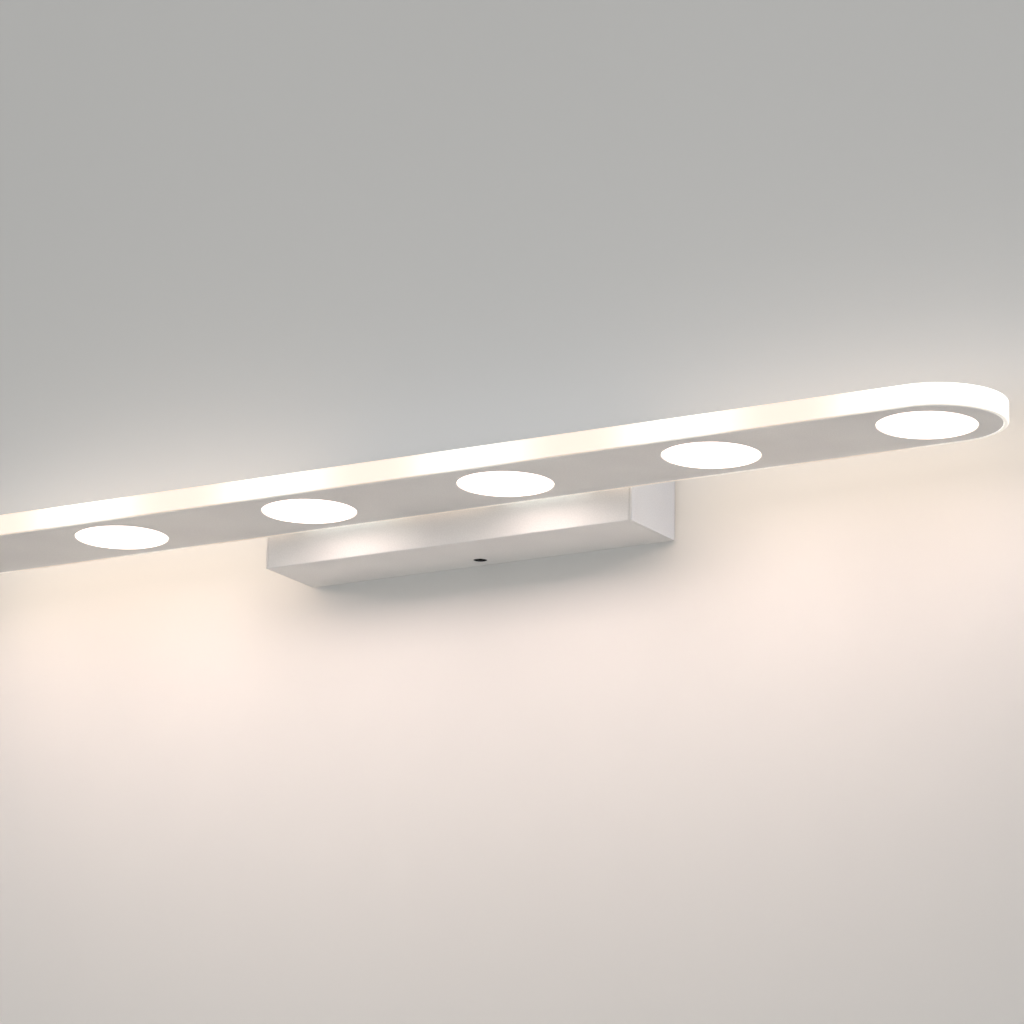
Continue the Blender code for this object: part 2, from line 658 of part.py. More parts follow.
def locking_screw():
    """A black set screw under the tongue, its hexagon socket facing down, and the
    clinch nut that holds its thread: a hexagon inside the canopy, with a neck that fills the hole."""
    base = LOCK_SCREW_RECESS
    tip = TONGUE_UNDER + CANOPY_H / 2 - TOUCH
    radius = LOCK_SCREW_D / 2
    ease = 0.0004
    profile = [(0, base), (radius - ease, base), (radius, base + ease), (radius, tip - 2 * ease)]
    profile += [(radius - 2 * ease, tip), (0, tip)]
    under = (0, LOCK_Y, -CANOPY_H / 2)
    screw = placed("locking_screw", turned(profile), BLACK_STEEL, LOCK_AXIS, at=under)
    socket = rod(across_flats(LOCK_SOCKET_AF), base - 0.001, base + 0.0022, 6)
    boolean(screw, cutter("lock_socket", socket, under))
    nut = placed(
        "locking_nut",
        rod(across_flats(LOCK_NUT_AF), FLOOR_INNER + TOUCH, NUT_TOP, 6),
        BLACK_STEEL,
        at=(0, LOCK_Y, 0),
    )
    neck = rod(LOCK_HOLE_D - 2 * TOUCH, -CANOPY_H / 2 + TOUCH, FLOOR_INNER + 2 * TOUCH)
    boolean(nut, cutter("nut_neck", neck, (0, LOCK_Y, 0)), "UNION")
    thread = rod(LOCK_SCREW_D + 2 * TOUCH, -CANOPY_H / 2 - 0.001, NUT_TOP + 0.001)
    boolean(nut, cutter("nut_thread", thread, (0, LOCK_Y, 0)))


def driver():
    """The LED driver on its foam tape: an open case, its lid towards the wall, and the board between them."""
    front = CANOPY_INNER + TOUCH
    pad_back = front + DRIVER_PAD_T
    x0, x1 = DRIVER_LEFT, DRIVER_LEFT + DRIVER_L
    z0, z1 = -DRIVER_H / 2, DRIVER_H / 2
    edge = 0.004
    placed(
        "driver_tape",
        block((x0 + edge, front, z0 + edge), (BUSH_X - BUSH_FLANGE_D / 2 - edge, pad_back, z1 - edge)),
        FOAM,
    )
    case_front = pad_back + TOUCH
    case_back = case_front + DRIVER_D
    case = placed("driver_case", block((x0, case_front, z0), (x1, case_back, z1), 0.0006), CASE)
    hollow = block(
        (x0 + DRIVER_WALL, case_front + DRIVER_WALL, z0 + DRIVER_WALL),
        (x1 - DRIVER_WALL, case_back + 0.002, z1 - DRIVER_WALL),
    )
    boolean(case, cutter("driver_hollow", hollow))
    # Lead holes: the mains pair and the LED pair both leave on the right.
    for name, y, z in driver_leads(case_front):
        hole = rod(WIRE_D + 2 * TOUCH, -0.003, 0.003)
        side = Matrix.Rotation(math.radians(90), 3, "Y")
        boolean(case, cutter(f"lead_hole_{name}", hole, (x1, y, z), side))
    lid_low = (x0, case_back + TOUCH, z0)
    placed("driver_lid", block(lid_low, (x1, case_back + TOUCH + DRIVER_WALL, z1), 0.0004), CASE)
    inset = DRIVER_WALL + TOUCH + 0.0012
    board_y = case_front + DRIVER_WALL + 0.003
    board = placed(
        "driver_board",
        block((x0 + inset, board_y, z0 + inset), (x1 - inset, board_y + 0.0016, z1 - inset)),
        GREEN_BOARD,
    )
    top = board_y + 0.0014
    tall = case_back - TOUCH - 0.0006
    parts = bmesh.new()
    middle = (x0 + x1) / 2
    for along, wide, high, reach in (
        (0.00, 0.20, 0.70, 1.00),
        (0.26, 0.12, 0.54, 0.60),
        (-0.22, 0.10, 0.38, 0.85),
        (-0.37, 0.08, 0.62, 0.55),
    ):
        x = middle + along * DRIVER_L
        reach = top + reach * (tall - top)
        size = Matrix.Diagonal((wide * DRIVER_L, reach - top, high * DRIVER_H, 1))
        bmesh.ops.create_cube(parts, size=1, matrix=Matrix.Translation((x, (top + reach) / 2, 0)) @ size)
    boolean(board, cutter("board_components", parts), "UNION")


def driver_leads(case_front):
    """(name, y, z) of each lead where it leaves the driver's right end."""
    near = case_front + DRIVER_D * 0.25
    far = case_front + DRIVER_D * 0.80
    low, high = DRIVER_H * 0.115, DRIVER_H * 0.23
    return (("led_positive", near, low), ("led_negative", near, -low), ("live", far, high), ("neutral", far, -high))


def terminal_block():
    """The mains terminal block, its three screws facing the wall and its wire entries at both sides."""
    front = CANOPY_INNER + TOUCH
    back = front + TERMINAL_D
    x0, x1 = TERMINAL_LEFT, TERMINAL_LEFT + TERMINAL_L
    body = placed("terminal_block", block((x0, front, -TERMINAL_H / 2), (x1, back, TERMINAL_H / 2), 0.0006), CASE)
    for i, z in enumerate(terminal_heights()):
        entry = rod(WIRE_D + 2 * TOUCH, -0.001, 0.0075)
        side = Matrix.Rotation(math.radians(90), 3, "Y")
        boolean(body, cutter(f"terminal_entry_{i + 1}", entry, (x0, front + TERMINAL_D / 2, z), side))
        supply = rod(0.0034, -0.0075, 0.001)
        boolean(body, cutter(f"supply_entry_{i + 1}", supply, (x1, front + TERMINAL_D / 2, z), side))
        well = rod(0.0042, -0.0040, 0.001)
        middle = (x0 + x1) / 2
        boolean(body, cutter(f"screw_well_{i + 1}", well, (middle, back, z), FROM_Y))
        screw = placed(f"terminal_screw_{i + 1}", rod(0.0034, -0.0036, -0.0010), ZINC, at=(middle, back, z), turn=FROM_Y)
        slot = block((-0.0004, -0.003, -0.0016), (0.0004, 0.003, 0))
        boolean(screw, cutter(f"screw_slot_{i + 1}", slot, (middle, back, z), FROM_Y))


def terminal_heights():
    """Height of each pole of the terminal block."""
    step = TERMINAL_H / TERMINAL_POLES
    return [(i - (TERMINAL_POLES - 1) / 2) * step for i in range(TERMINAL_POLES)]


def earth_point():
    """A stud welded inside the canopy's front, and the nut on it."""
    stud = rod(EARTH_D, 0, 0.0110)
    at = (EARTH_X, CANOPY_INNER + TOUCH, EARTH_Z)
    placed("earth_stud", stud, BRASS, at=at, turn=FROM_Y)
    nut = placed("earth_nut", rod(across_flats(0.0070), 0.0050, 0.0082, 6), BRASS, at=at, turn=FROM_Y)
    bore = rod(EARTH_D + 2 * TOUCH, 0.004, 0.009)
    boolean(nut, cutter("earth_nut_thread", bore, at, FROM_Y))


def canopy_wires():
    """Leads inside the canopy: LED pair to the bar, mains pair to the terminals, earth to its stud."""
    case_front = CANOPY_INNER + 2 * TOUCH + DRIVER_PAD_T
    leads = {name: (y, z) for name, y, z in driver_leads(case_front)}
    start = DRIVER_LEFT + DRIVER_L - 0.0012
    through = BAR_REAR - EDGE_WALL - 0.0010
    behind = 0.0040
    for name, side, x_end, z_end, finish in (
        ("positive", 1, BUSH_X + LEAD_SHIFT, 0.0, RED_WIRE),
        ("negative", -1, BUSH_X - LEAD_SHIFT, 0.0, BLACK_WIRE),
    ):
        y, z = leads[f"led_{name}"]
        bus = BUS_Y[0] if side > 0 else BUS_Y[1]
        drop = BUS_Z if side > 0 else BUS_Z - BUS_WIRE_D - 2 * TOUCH
        stop = bus + BUS_WIRE_D + 2 * TOUCH if side > 0 else bus
        route = [
            (start, y, z),
            (start + 0.0050, y + 0.0005, z * 0.9),
            (x_end - 0.0010 * (1 if side > 0 else 0), y - 0.0002, z * 0.5),
            (x_end, CANOPY_INNER - behind, z_end),
            (x_end, through, z_end),
            (x_end, through - 0.0070, z_end + (drop - z_end) * 0.5),
            (x_end, BAR_Y, drop),
            (x_end, stop, drop),
        ]
        wire(f"led_lead_{name}", route, LEAD_D, finish, 4)
    entry_y = CANOPY_INNER + TOUCH + TERMINAL_D / 2
    heights = terminal_heights()
    reach = TERMINAL_LEFT + 0.0050
    for name, height, finish in (("live", heights[2], BROWN_WIRE), ("neutral", heights[1], BLUE_WIRE)):
        y, z = leads[name]
        route = [
            (start, y, z),
            (start + 0.0060, y, z),
            (TERMINAL_LEFT - 0.0080, entry_y + 0.0030, height),
            (TERMINAL_LEFT - 0.0020, entry_y, height),
            (reach, entry_y, height),
        ]
        wire(f"{name}_lead", route, WIRE_D, finish, 4)
    back = CANOPY_INNER + TOUCH + TERMINAL_D
    route = [
        (reach, entry_y, heights[0]),
        (TERMINAL_LEFT - 0.0030, entry_y, heights[0]),
        (TERMINAL_LEFT - 0.0065, entry_y + 0.0040, (heights[0] * 2 + EARTH_Z) / 3),
        (TERMINAL_LEFT - 0.0040, back + 0.0030, (heights[0] + EARTH_Z * 2) / 3),
        (TERMINAL_LEFT + 0.0060, back + 0.0045, EARTH_Z + 0.0005),
        (TERMINAL_LEFT + TERMINAL_L - 0.0020, back + 0.0040, EARTH_Z),
        (TERMINAL_LEFT + TERMINAL_L + 0.0045, entry_y, EARTH_Z),
        (EARTH_X - 0.0080, CANOPY_INNER + 0.0035, EARTH_Z),
        (EARTH_X - EARTH_D / 2 - TOUCH * 2, CANOPY_INNER + 0.0030, EARTH_Z),
    ]
    wire("earth_lead", route, WIRE_D, GREEN_WIRE, 4)


edge_diffuser()
bottom_plate()
top_plate()
lenses()
led_modules()
pillars_and_screws()
bus_wires()
arms()
cable_bush()
canopy_channel()
end_caps()
wall_bracket()
bracket_grommet()
locking_screw()
driver()
terminal_block()
earth_point()
canopy_wires()
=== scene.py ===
"""Looks of the vanity light bar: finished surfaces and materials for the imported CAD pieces.

Metres, in the CAD's own frame: X along the bar, +Y into the wall, +Z up. Each new surface is worked out
as an array of points: loops of points joined in a row, or a grid over two parameters.
"""

import math

import bmesh
import bpy
import numpy as np
from mathutils import Matrix, Vector
from mathutils.geometry import delaunay_2d_cdt


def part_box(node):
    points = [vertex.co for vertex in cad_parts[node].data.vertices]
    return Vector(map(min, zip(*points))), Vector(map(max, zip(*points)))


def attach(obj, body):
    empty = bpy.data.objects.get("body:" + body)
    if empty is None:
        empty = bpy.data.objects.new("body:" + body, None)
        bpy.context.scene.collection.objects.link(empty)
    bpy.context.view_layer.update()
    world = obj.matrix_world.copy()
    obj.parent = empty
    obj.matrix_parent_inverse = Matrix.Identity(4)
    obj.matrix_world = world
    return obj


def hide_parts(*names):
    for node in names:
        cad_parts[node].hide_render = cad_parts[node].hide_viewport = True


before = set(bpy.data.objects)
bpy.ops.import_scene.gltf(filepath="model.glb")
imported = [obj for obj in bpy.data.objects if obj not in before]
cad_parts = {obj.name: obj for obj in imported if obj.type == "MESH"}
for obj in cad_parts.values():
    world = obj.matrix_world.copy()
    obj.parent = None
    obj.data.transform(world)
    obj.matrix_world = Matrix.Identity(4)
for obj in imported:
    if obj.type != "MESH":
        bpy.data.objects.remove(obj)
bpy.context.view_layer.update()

TAU = 2 * math.pi
AROUND = 96  # points round a lens or half of the bar's end
SMALL = 60  # points round a screw; a multiple of six, so a hexagon's corners fall on points
ANGLE = np.arange(SMALL) * TAU / SMALL

# ---------------------------------------------------------------- colours and nodes


def linear(hex_colour):
    """An sRGB hex colour as linear RGBA."""
    srgb = np.array([int(hex_colour[i : i + 2], 16) for i in (1, 3, 5)]) / 255
    value = np.where(srgb <= 0.04045, srgb / 12.92, ((srgb + 0.055) / 1.055) ** 2.4)
    return (*value.tolist(), 1.0)


def node(tree, kind, settings=None, inputs=None, links=None, to=None, stops=()):
    """Adds one node: its own settings, the values of its inputs, links in as {input: (node, output)}, links
    out as {output: (node, input)}, and a colour ramp's stops as (position, hex colour)."""
    made = tree.nodes.new(kind)
    for name, value in (settings or {}).items():
        setattr(made, name, value)
    for name, value in (inputs or {}).items():
        made.inputs[name].default_value = value
    for name, (source, output) in (links or {}).items():
        tree.links.new(source.outputs[output], made.inputs[name])
    for name, (target, socket) in (to or {}).items():
        tree.links.new(made.outputs[name], target.inputs[socket])
    if stops:
        steps = made.color_ramp.elements
        while len(steps) < len(stops):
            steps.new(0.5)
        for step, (position, colour) in zip(steps, stops):
            step.position = position
            step.color = linear(colour)
    return made


def new_material(name, shader_values):
    """An empty node material with a Principled shader of the given values, and where to read Object
    coordinates."""
    made = bpy.data.materials.new(name)
    made.use_nodes = True
    tree = made.node_tree
    tree.nodes.clear()
    shader = node(tree, "ShaderNodeBsdfPrincipled", inputs=shader_values)
    node(tree, "ShaderNodeOutputMaterial", links={"Surface": (shader, "BSDF")})
    return made, tree, shader, (node(tree, "ShaderNodeTexCoord"), "Object")


def per_metre(millimetres):
    """The scale of a pattern whose features are this many millimetres across."""
    return 1000 / millimetres


def mottled(tree, place, size, stops, to, **noise):
    """Colour that drifts over `size` mm: a noise through a colour ramp."""
    inputs = {"Scale": per_metre(size), **noise}
    drift = node(tree, "ShaderNodeTexNoise", inputs=inputs, links={"Vector": place})
    node(tree, "ShaderNodeValToRGB", links={"Fac": (drift, "Fac")}, to=to, stops=stops)


def textured(tree, shader, place, size, gloss=None, height=None, strength=1.0, **noise):
    """A fine texture of `size` mm: one noise carries the roughness between the two values of `gloss`, and
    stands `height` metres off the face."""
    inputs = {"Scale": per_metre(size), **noise}
    fine = node(tree, "ShaderNodeTexNoise", inputs=inputs, links={"Vector": place})
    if gloss:
        node(
            tree,
            "ShaderNodeMapRange",
            inputs={"To Min": gloss[0], "To Max": gloss[1]},
            links={"Value": (fine, "Fac")},
            to={"Result": (shader, "Roughness")},
        )
    if height:
        node(
            tree,
            "ShaderNodeBump",
            inputs={"Strength": strength, "Distance": height},
            links={"Height": (fine, "Fac")},
            to={"Normal": (shader, "Normal")},
        )
    return fine


# ---------------------------------------------------------------- materials


def satin_anodised_aluminium():
    """Aluminium sheet, bead blasted and clear anodised: a soft even grey sheen with no grain direction.

    The blast pits are near 0.05 mm and too fine to show, so they are drawn at 0.7 mm, painted a little darker
    where they sink lowest as a painted shade in the pits; a slow drift of tone, as from the anodising bath,
    runs over 45 mm.
    """
    shader_values = {"Metallic": 0.25, "Roughness": 0.62}
    made, tree, shader, place = new_material("satin_anodised_aluminium", shader_values)
    both = node(
        tree,
        "ShaderNodeMix",
        {"data_type": "RGBA", "blend_type": "MULTIPLY"},
        {"Factor": 1.0},
        to={"Result": (shader, "Base Color")},
    )
    mottled(tree, place, 45, [(0.30, "#D9D7D5"), (0.70, "#E0DFDC")], {"Color": (both, "A")})
    pits = textured(tree, shader, place, 0.7, (0.56, 0.68), 0.000012, 0.6, Detail=3.0, Roughness=0.6)
    # Where the pits' noise is low the face stands lower and is painted up to 4% darker: painted shade in the
    # pits.
    node(
        tree,
        "ShaderNodeValToRGB",
        links={"Fac": (pits, "Fac")},
        to={"Color": (both, "B")},
        stops=[(0.30, "#F4F4F4"), (0.70, "#FFFFFF")],
    )
    return made


def lit_opal_acrylic(pitch, last, strength):
    """Cast opal acrylic lit from inside: a milky body that glows, whiter beside each group of chips.

    The glow is a cosine of the pitch of the modules along X, held a little past the last one, and cools to
    cream between them. It leaves by the upright wall, so the narrow faces above and below are dimmer.
    """
    held_past, face_share = 0.012, 0.36
    made, tree, shader, place = new_material(
        "lit_opal_acrylic", {"Base Color": linear("#DCD9D2"), "Roughness": 0.22, "IOR": 1.49}
    )
    maths = "ShaderNodeMath"
    split = node(tree, "ShaderNodeSeparateXYZ", links={"Vector": place})
    out = node(tree, maths, {"operation": "ABSOLUTE"}, links={0: (split, "X")})
    held = node(tree, maths, {"operation": "MINIMUM"}, {1: last + held_past}, {0: (out, 0)})
    turns = node(
        tree, maths, {"operation": "MULTIPLY_ADD"}, {1: TAU / pitch, 2: -TAU * last / pitch}, {0: (held, 0)}
    )
    wave = node(tree, maths, {"operation": "COSINE"}, links={0: (turns, 0)})
    near = node(
        tree,
        "ShaderNodeMapRange",
        {"interpolation_type": "SMOOTHSTEP"},
        {"From Min": -1.0, "From Max": 1.0},
        {"Value": (wave, 0)},
    )
    node(
        tree,
        "ShaderNodeValToRGB",
        links={"Fac": (near, "Result")},
        to={"Color": (shader, "Emission Color")},
        stops=[(0.0, "#D8C2B0"), (0.55, "#F0E1D2"), (1.0, "#FFFDF6")],
    )
    facing = node(tree, "ShaderNodeNewGeometry")
    upright = node(tree, "ShaderNodeSeparateXYZ", links={"Vector": (facing, "Normal")})
    level = node(tree, maths, {"operation": "ABSOLUTE"}, links={0: (upright, "Z")})
    node(
        tree,
        "ShaderNodeMapRange",
        inputs={"From Min": 0.6, "From Max": 0.98, "To Min": strength, "To Max": strength * face_share},
        links={"Value": (level, 0)},
        to={"Result": (shader, "Emission Strength")},
    )
    textured(tree, shader, place, 18, (0.18, 0.27), Detail=1.0)
    return made


def lit_opal_lens(strength):
    """Moulded opal polycarbonate over the chips: evenly bright, with a fine frosted face.

    The frost is about 0.03 mm and is drawn at 0.5 mm.
    """
    body = {"Base Color": linear("#F7F4EE"), "Roughness": 0.35, "IOR": 1.58}
    glow = {"Emission Color": linear("#FFE5DC"), "Emission Strength": strength}
    made, tree, shader, place = new_material("lit_opal_polycarbonate", {**body, **glow})
    textured(tree, shader, place, 0.5, (0.30, 0.42), 0.000010, 0.5)
    return made


def plated_metal(name, dark, light, roughness, grain, lines=None, metallic=1.0):
    """Plated or plain metal: two tones mottled at `grain` mm under a spread of gloss an eighth as coarse, or
    under drawn lines along X if `lines` is their width in mm."""
    made, tree, shader, place = new_material(name, {"Metallic": metallic, "Roughness": roughness})
    mottled(
        tree, place, grain, [(0.30, dark), (0.72, light)], {"Color": (shader, "Base Color")},
        Detail=4.0, Roughness=0.55,
    )
    if lines:
        along_x = node(tree, "ShaderNodeMapping", inputs={"Scale": (0.02, 1.0, 1.0)}, links={"Vector": place})
        place = (along_x, "Vector")
    gloss = (roughness * 0.75, roughness * 1.3)
    textured(tree, shader, place, lines or grain / 8, gloss, 0.000015, 0.5)
    return made


def moulded_plastic(name, colour, shade, roughness, grain, ior=1.5):
    """Injection-moulded or extruded plastic: one colour with a faint drift to `shade`, and a spark-eroded
    texture of `grain` mm on its face."""
    made, tree, shader, place = new_material(name, {"Roughness": roughness, "IOR": ior})
    mottled(tree, place, 14, [(0.35, shade), (0.65, colour)], {"Color": (shader, "Base Color")})
    gloss = (max(roughness - 0.08, 0.05), roughness + 0.10)
    textured(tree, shader, place, grain, gloss, grain * 0.00004, 0.7, Roughness=0.6)
    return made


def striped_pvc():
    """Earth wire: green insulation with two yellow stripes that wind round it every 20 mm.

    The wire's own UV runs along it in metres and once round it.
    """
    maths, per_twist = "ShaderNodeMath", 0.020
    made, tree, shader, _ = new_material("green_yellow_pvc", {"Roughness": 0.40, "IOR": 1.53})
    unwrapped = node(tree, "ShaderNodeUVMap", {"uv_map": "wrap"})
    split = node(tree, "ShaderNodeSeparateXYZ", links={"Vector": (unwrapped, "UV")})
    sources = {0: (split, "X"), 2: (split, "Y")}
    along = node(tree, maths, {"operation": "MULTIPLY_ADD"}, {1: 1 / per_twist}, sources)
    twice = node(tree, maths, {"operation": "MULTIPLY"}, {1: 2.0}, {0: (along, 0)})
    part = node(tree, maths, {"operation": "FRACT"}, links={0: (twice, 0)})
    node(
        tree,
        "ShaderNodeValToRGB",
        links={"Fac": (part, 0)},
        to={"Color": (shader, "Base Color")},
        stops=[(0.0, "#2F7D32"), (0.62, "#2F7D32"), (0.66, "#E3C92B"), (1.0, "#E3C92B")],
    )
    return made


def celled(name, shader_values, settings, cells, output, stops, height, strength):
    """A face of cells, whose `output` gives both its colour through a ramp and its relief: for a board
    by way of the ramp, for foam straight from the cells."""
    made, tree, shader, place = new_material(name, shader_values)
    pattern = node(tree, "ShaderNodeTexVoronoi", settings, cells, {"Vector": place})
    tone = node(
        tree,
        "ShaderNodeValToRGB",
        links={"Fac": (pattern, "Distance")},
        to={"Color": (shader, "Base Color")},
        stops=stops,
    )
    node(
        tree,
        "ShaderNodeBump",
        inputs={"Strength": strength, "Distance": height},
        links={"Height": (tone, "Color") if output == "Color" else (pattern, "Distance")},
        to={"Normal": (shader, "Normal")},
    )
    return made


def circuit_board(name, mask, trace):
    """Solder mask over copper: tracks round fields 4 mm across show through as a slightly lighter net."""
    cells = {"Scale": per_metre(4.0), "Randomness": 0.7}
    shader_values = {"Roughness": 0.38, "IOR": 1.52}
    edges = {"feature": "DISTANCE_TO_EDGE"}
    return celled(name, shader_values, edges, cells, "Color", [(0.06, trace), (0.10, mask)], 0.00003, 0.4)


def closed_cell_foam():
    """Mounting tape of closed-cell foam: matt, its open bubbles drawn 0.8 mm wide so that they show, each
    painted darker towards its sunk middle: a painted shade in every hollow.
    """
    # Dark at the middle of each cell, its deepest point, and lighter at its rim: painted shade in the
    # bubbles.
    stops = [(0.0, "#2C2C2D"), (0.5, "#545456")]
    shader_values = {"Roughness": 0.95, "IOR": 1.4}
    cells = {"Scale": per_metre(0.8)}
    return celled("closed_cell_foam", shader_values, {}, cells, "Distance", stops, 0.0001, 0.8)


# ---------------------------------------------------------------- loops of points, as (N, 2) arrays


def round_loop(radius, count=AROUND, middle=(0.0, 0.0)):
    """A circle: angle runs evenly from 0 to a full turn."""
    angle = np.arange(count) * TAU / count
    return np.stack([middle[0] + radius * np.cos(angle), middle[1] + radius * np.sin(angle)], axis=1)


def stadium_loop(length, width, half=AROUND):
    """Two half circles joined by straights: each end's angle runs through half a turn."""
    angle = np.linspace(-math.pi / 2, math.pi / 2, half + 1)
    radius, reach = width / 2, (length - width) / 2
    right = np.stack([reach + radius * np.cos(angle), radius * np.sin(angle)], axis=1)
    return np.concatenate([right, -right])


def corner_loop(width, height, radius, steps=8):
    """A rectangle about its middle with each corner a quarter circle of `steps` steps."""
    angle = np.linspace(0, math.pi / 2, steps + 1)
    radius = max(radius, 1e-5)
    quarter = np.stack([np.cos(angle), np.sin(angle)], axis=1) * radius
    corners = []
    for i, (sx, sy) in enumerate(((1, 1), (-1, 1), (-1, -1), (1, -1))):
        cos, sin = math.cos(i * math.pi / 2), math.sin(i * math.pi / 2)
        middle = np.array([sx * (width / 2 - radius), sy * (height / 2 - radius)])
        corners.append(middle + quarter @ np.array([[cos, sin], [-sin, cos]]))
    return np.concatenate(corners)


def hexagon(flats):
    """Ring radii of a hexagon: half its width across flats over the cosine of the angle from the nearest
    side's middle."""
    return flats / 2 / np.cos((ANGLE + math.pi / 6) % (math.pi / 3) - math.pi / 6)


def chamfered_hexagon(flats, from_face, share):
    """Ring radii of a hexagon head, for each distance from its face: the hexagon, held back by a cone that
    meets the face at `share` of the way to the corners and widens by 1.7 for each step along the axis, near
    30 degrees."""
    corner = flats / 2 / math.cos(math.pi / 6)
    return [np.minimum(hexagon(flats), corner * share + 1.7 * d) for d in from_face]


def thread(z, radius, pitch, depth):
    """Ring radii of a screw thread at the heights z: from `radius` down by `depth` and back once in each
    pitch, a pitch further along for each turn."""
    phase = (z[:, None] / pitch - ANGLE / TAU) % 1.0
    return radius - depth + 2 * depth * np.abs(phase - 0.5)


# ---------------------------------------------------------------- surfaces


def joined_faces(rows, count, closed_rows=False):
    """Quads between neighbouring loops of `count` points, `rows` loops; closed_rows joins last to first."""
    row = np.arange(rows if closed_rows else rows - 1)[:, None] * count
    after = (row + count) % (rows * count)
    point = np.arange(count)
    following = (point + 1) % count
    quads = np.stack([row + point, row + following, after + following, after + point], axis=-1)
    return quads.reshape(-1, 4)


def filled(loops):
    """Triangles over the area inside the first loop and outside the others, as indices into them all."""
    areas, base = [], 0
    for loop in loops:
        after = np.roll(loop, -1, axis=0)
        anticlockwise = (loop[:, 0] * after[:, 1] - loop[:, 1] * after[:, 0]).sum() > 0
        areas.append(list(range(base, base + len(loop)))[:: 1 if anticlockwise else -1])
        base += len(loop)
    made = delaunay_2d_cdt([Vector(p) for p in np.concatenate(loops).tolist()], [], areas, 1, 1e-9)
    origin = np.array([came[0] for came in made[3]])
    return origin[np.array([face for face, inside in zip(made[2], made[5]) if inside == [0]])]


class Surface:
    """Points and faces of one piece, gathered from several surfaces and then made one mesh."""

    def __init__(self):
        self.points, self.faces, self.count = [], [], 0

    def add(self, points, *face_sets):
        points = np.asarray(points, float).reshape(-1, 3)
        self.points.append(points)
        self.faces += [np.asarray(faces) + self.count for faces in face_sets]
        self.count += len(points)
        return self

    def mesh(self, name, turn=None, shift=(0, 0, 0), weld=2e-6):
        points = np.concatenate(self.points)
        if turn is not None:
            points = points @ np.asarray(turn).T
        points = points + np.asarray(shift)
        made = bpy.data.meshes.new(name)
        made.from_pydata(points.tolist(), [], [face for faces in self.faces for face in faces.tolist()])
        bm = bmesh.new()
        bm.from_mesh(made)
        bmesh.ops.remove_doubles(bm, verts=bm.verts, dist=weld)
        bmesh.ops.dissolve_degenerate(bm, edges=bm.edges, dist=weld / 10)
        bmesh.ops.recalc_face_normals(bm, faces=bm.faces)
        bm.to_mesh(made)
        bm.free()
        return made


STAND_Y = np.array([[1, 0, 0], [0, 0, -1], [0, 1, 0]])  # carries +Z onto -Y
STAND_X = np.array([[0, 0, 1], [1, 0, 0], [0, 1, 0]])  # carries a drawing in X, Y onto Y, Z
FACING_WALL = np.array([[1, 0, 0], [0, 0, 1], [0, -1, 0]])  # carries +Z onto +Y


def finished(name, mesh, finish, body, stands_for=(), sharp=32):
    """Makes the piece of a mesh: shaded smooth but for edges sharper than `sharp` degrees."""
    mesh.shade_smooth()
    mesh.set_sharp_from_angle(angle=math.radians(sharp))
    mesh.materials.clear()
    mesh.materials.append(finish)
    made = bpy.data.objects.new(name, mesh)
    bpy.context.scene.collection.objects.link(made)
    if stands_for:
        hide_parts(*stands_for)
    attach(made, body)
    return made


def eased(ease, low, high, steps=5):
    """How a plate's wall is drawn from its lower to its upper face: (inset, height), a quarter circle of
    radius `ease` at each arris."""
    turn = np.linspace(0, math.pi / 2, steps)
    inset = ease * (1 - np.sin(turn))
    rise = ease * (1 - np.cos(turn))
    return np.concatenate([inset, inset[::-1]]), np.concatenate([low + rise, high - rise[::-1]])


def plate(outline, holes, low, high, ease):
    """A flat plate with rounded arrises: outline(inset) and each hole(-inset) give a loop; walls are those
    loops at the insets and heights of eased(), and the two faces fill the innermost loops."""
    inset, height = eased(ease, low, high)
    made = Surface()
    lower, faces_low, faces_high, base = [], [], [], 0
    for draw, sign in [(outline, 1), *((hole, -1) for hole in holes)]:
        loops = np.stack([draw(sign * d) for d in inset])
        rows, count = loops.shape[:2]
        points = np.concatenate([loops, np.broadcast_to(height[:, None, None], (rows, count, 1))], axis=2)
        made.add(points, joined_faces(rows, count))
        lower.append(loops[0])
        faces_low.append(np.arange(count) + base)
        faces_high.append(np.arange(count) + base + (rows - 1) * count)
        base += rows * count
    area = filled(lower)
    made.faces.append(np.concatenate(faces_low)[area])
    made.faces.append(np.concatenate(faces_high)[area])
    return made


def straight(loop, low, high):
    """A straight-sided solid over one loop, for cutting with."""
    return plate(lambda d: loop, [], low, high, 0.00001)


def turned(radii, heights, count=SMALL, sleeve=False):
    """A turned or milled solid: ring k lies at heights[k], its distance from the axis radii[k], which is one
    number or one for each angle. A radius of 0 at an end closes it, and in a sleeve the last ring joins the
    first."""
    angle = np.arange(count) * TAU / count
    radius = np.stack([np.broadcast_to(np.asarray(r, float), (count,)) for r in radii])
    height = np.broadcast_to(np.asarray(heights, float)[:, None], radius.shape)
    points = np.stack([radius * np.cos(angle), radius * np.sin(angle), height], axis=2)
    return Surface().add(points, joined_faces(len(radii), count, closed_rows=sleeve))


def extruded(section, low, high):
    """A section, as (N, 2) points in Y and Z, carried straight along X from low to high."""
    count = len(section)
    ends = [np.concatenate([np.full((count, 1), x), section], axis=1) for x in (low, high)]
    area = filled([section])
    return Surface().add(np.concatenate(ends), joined_faces(2, count), area, area + count)


def arc(middle, radius, start, end, steps=6):
    """Points on a circle from one angle to another, in degrees."""
    angle = np.radians(np.linspace(start, end, steps + 1))
    return np.stack([middle[0] + radius * np.cos(angle), middle[1] + radius * np.sin(angle)], axis=1)


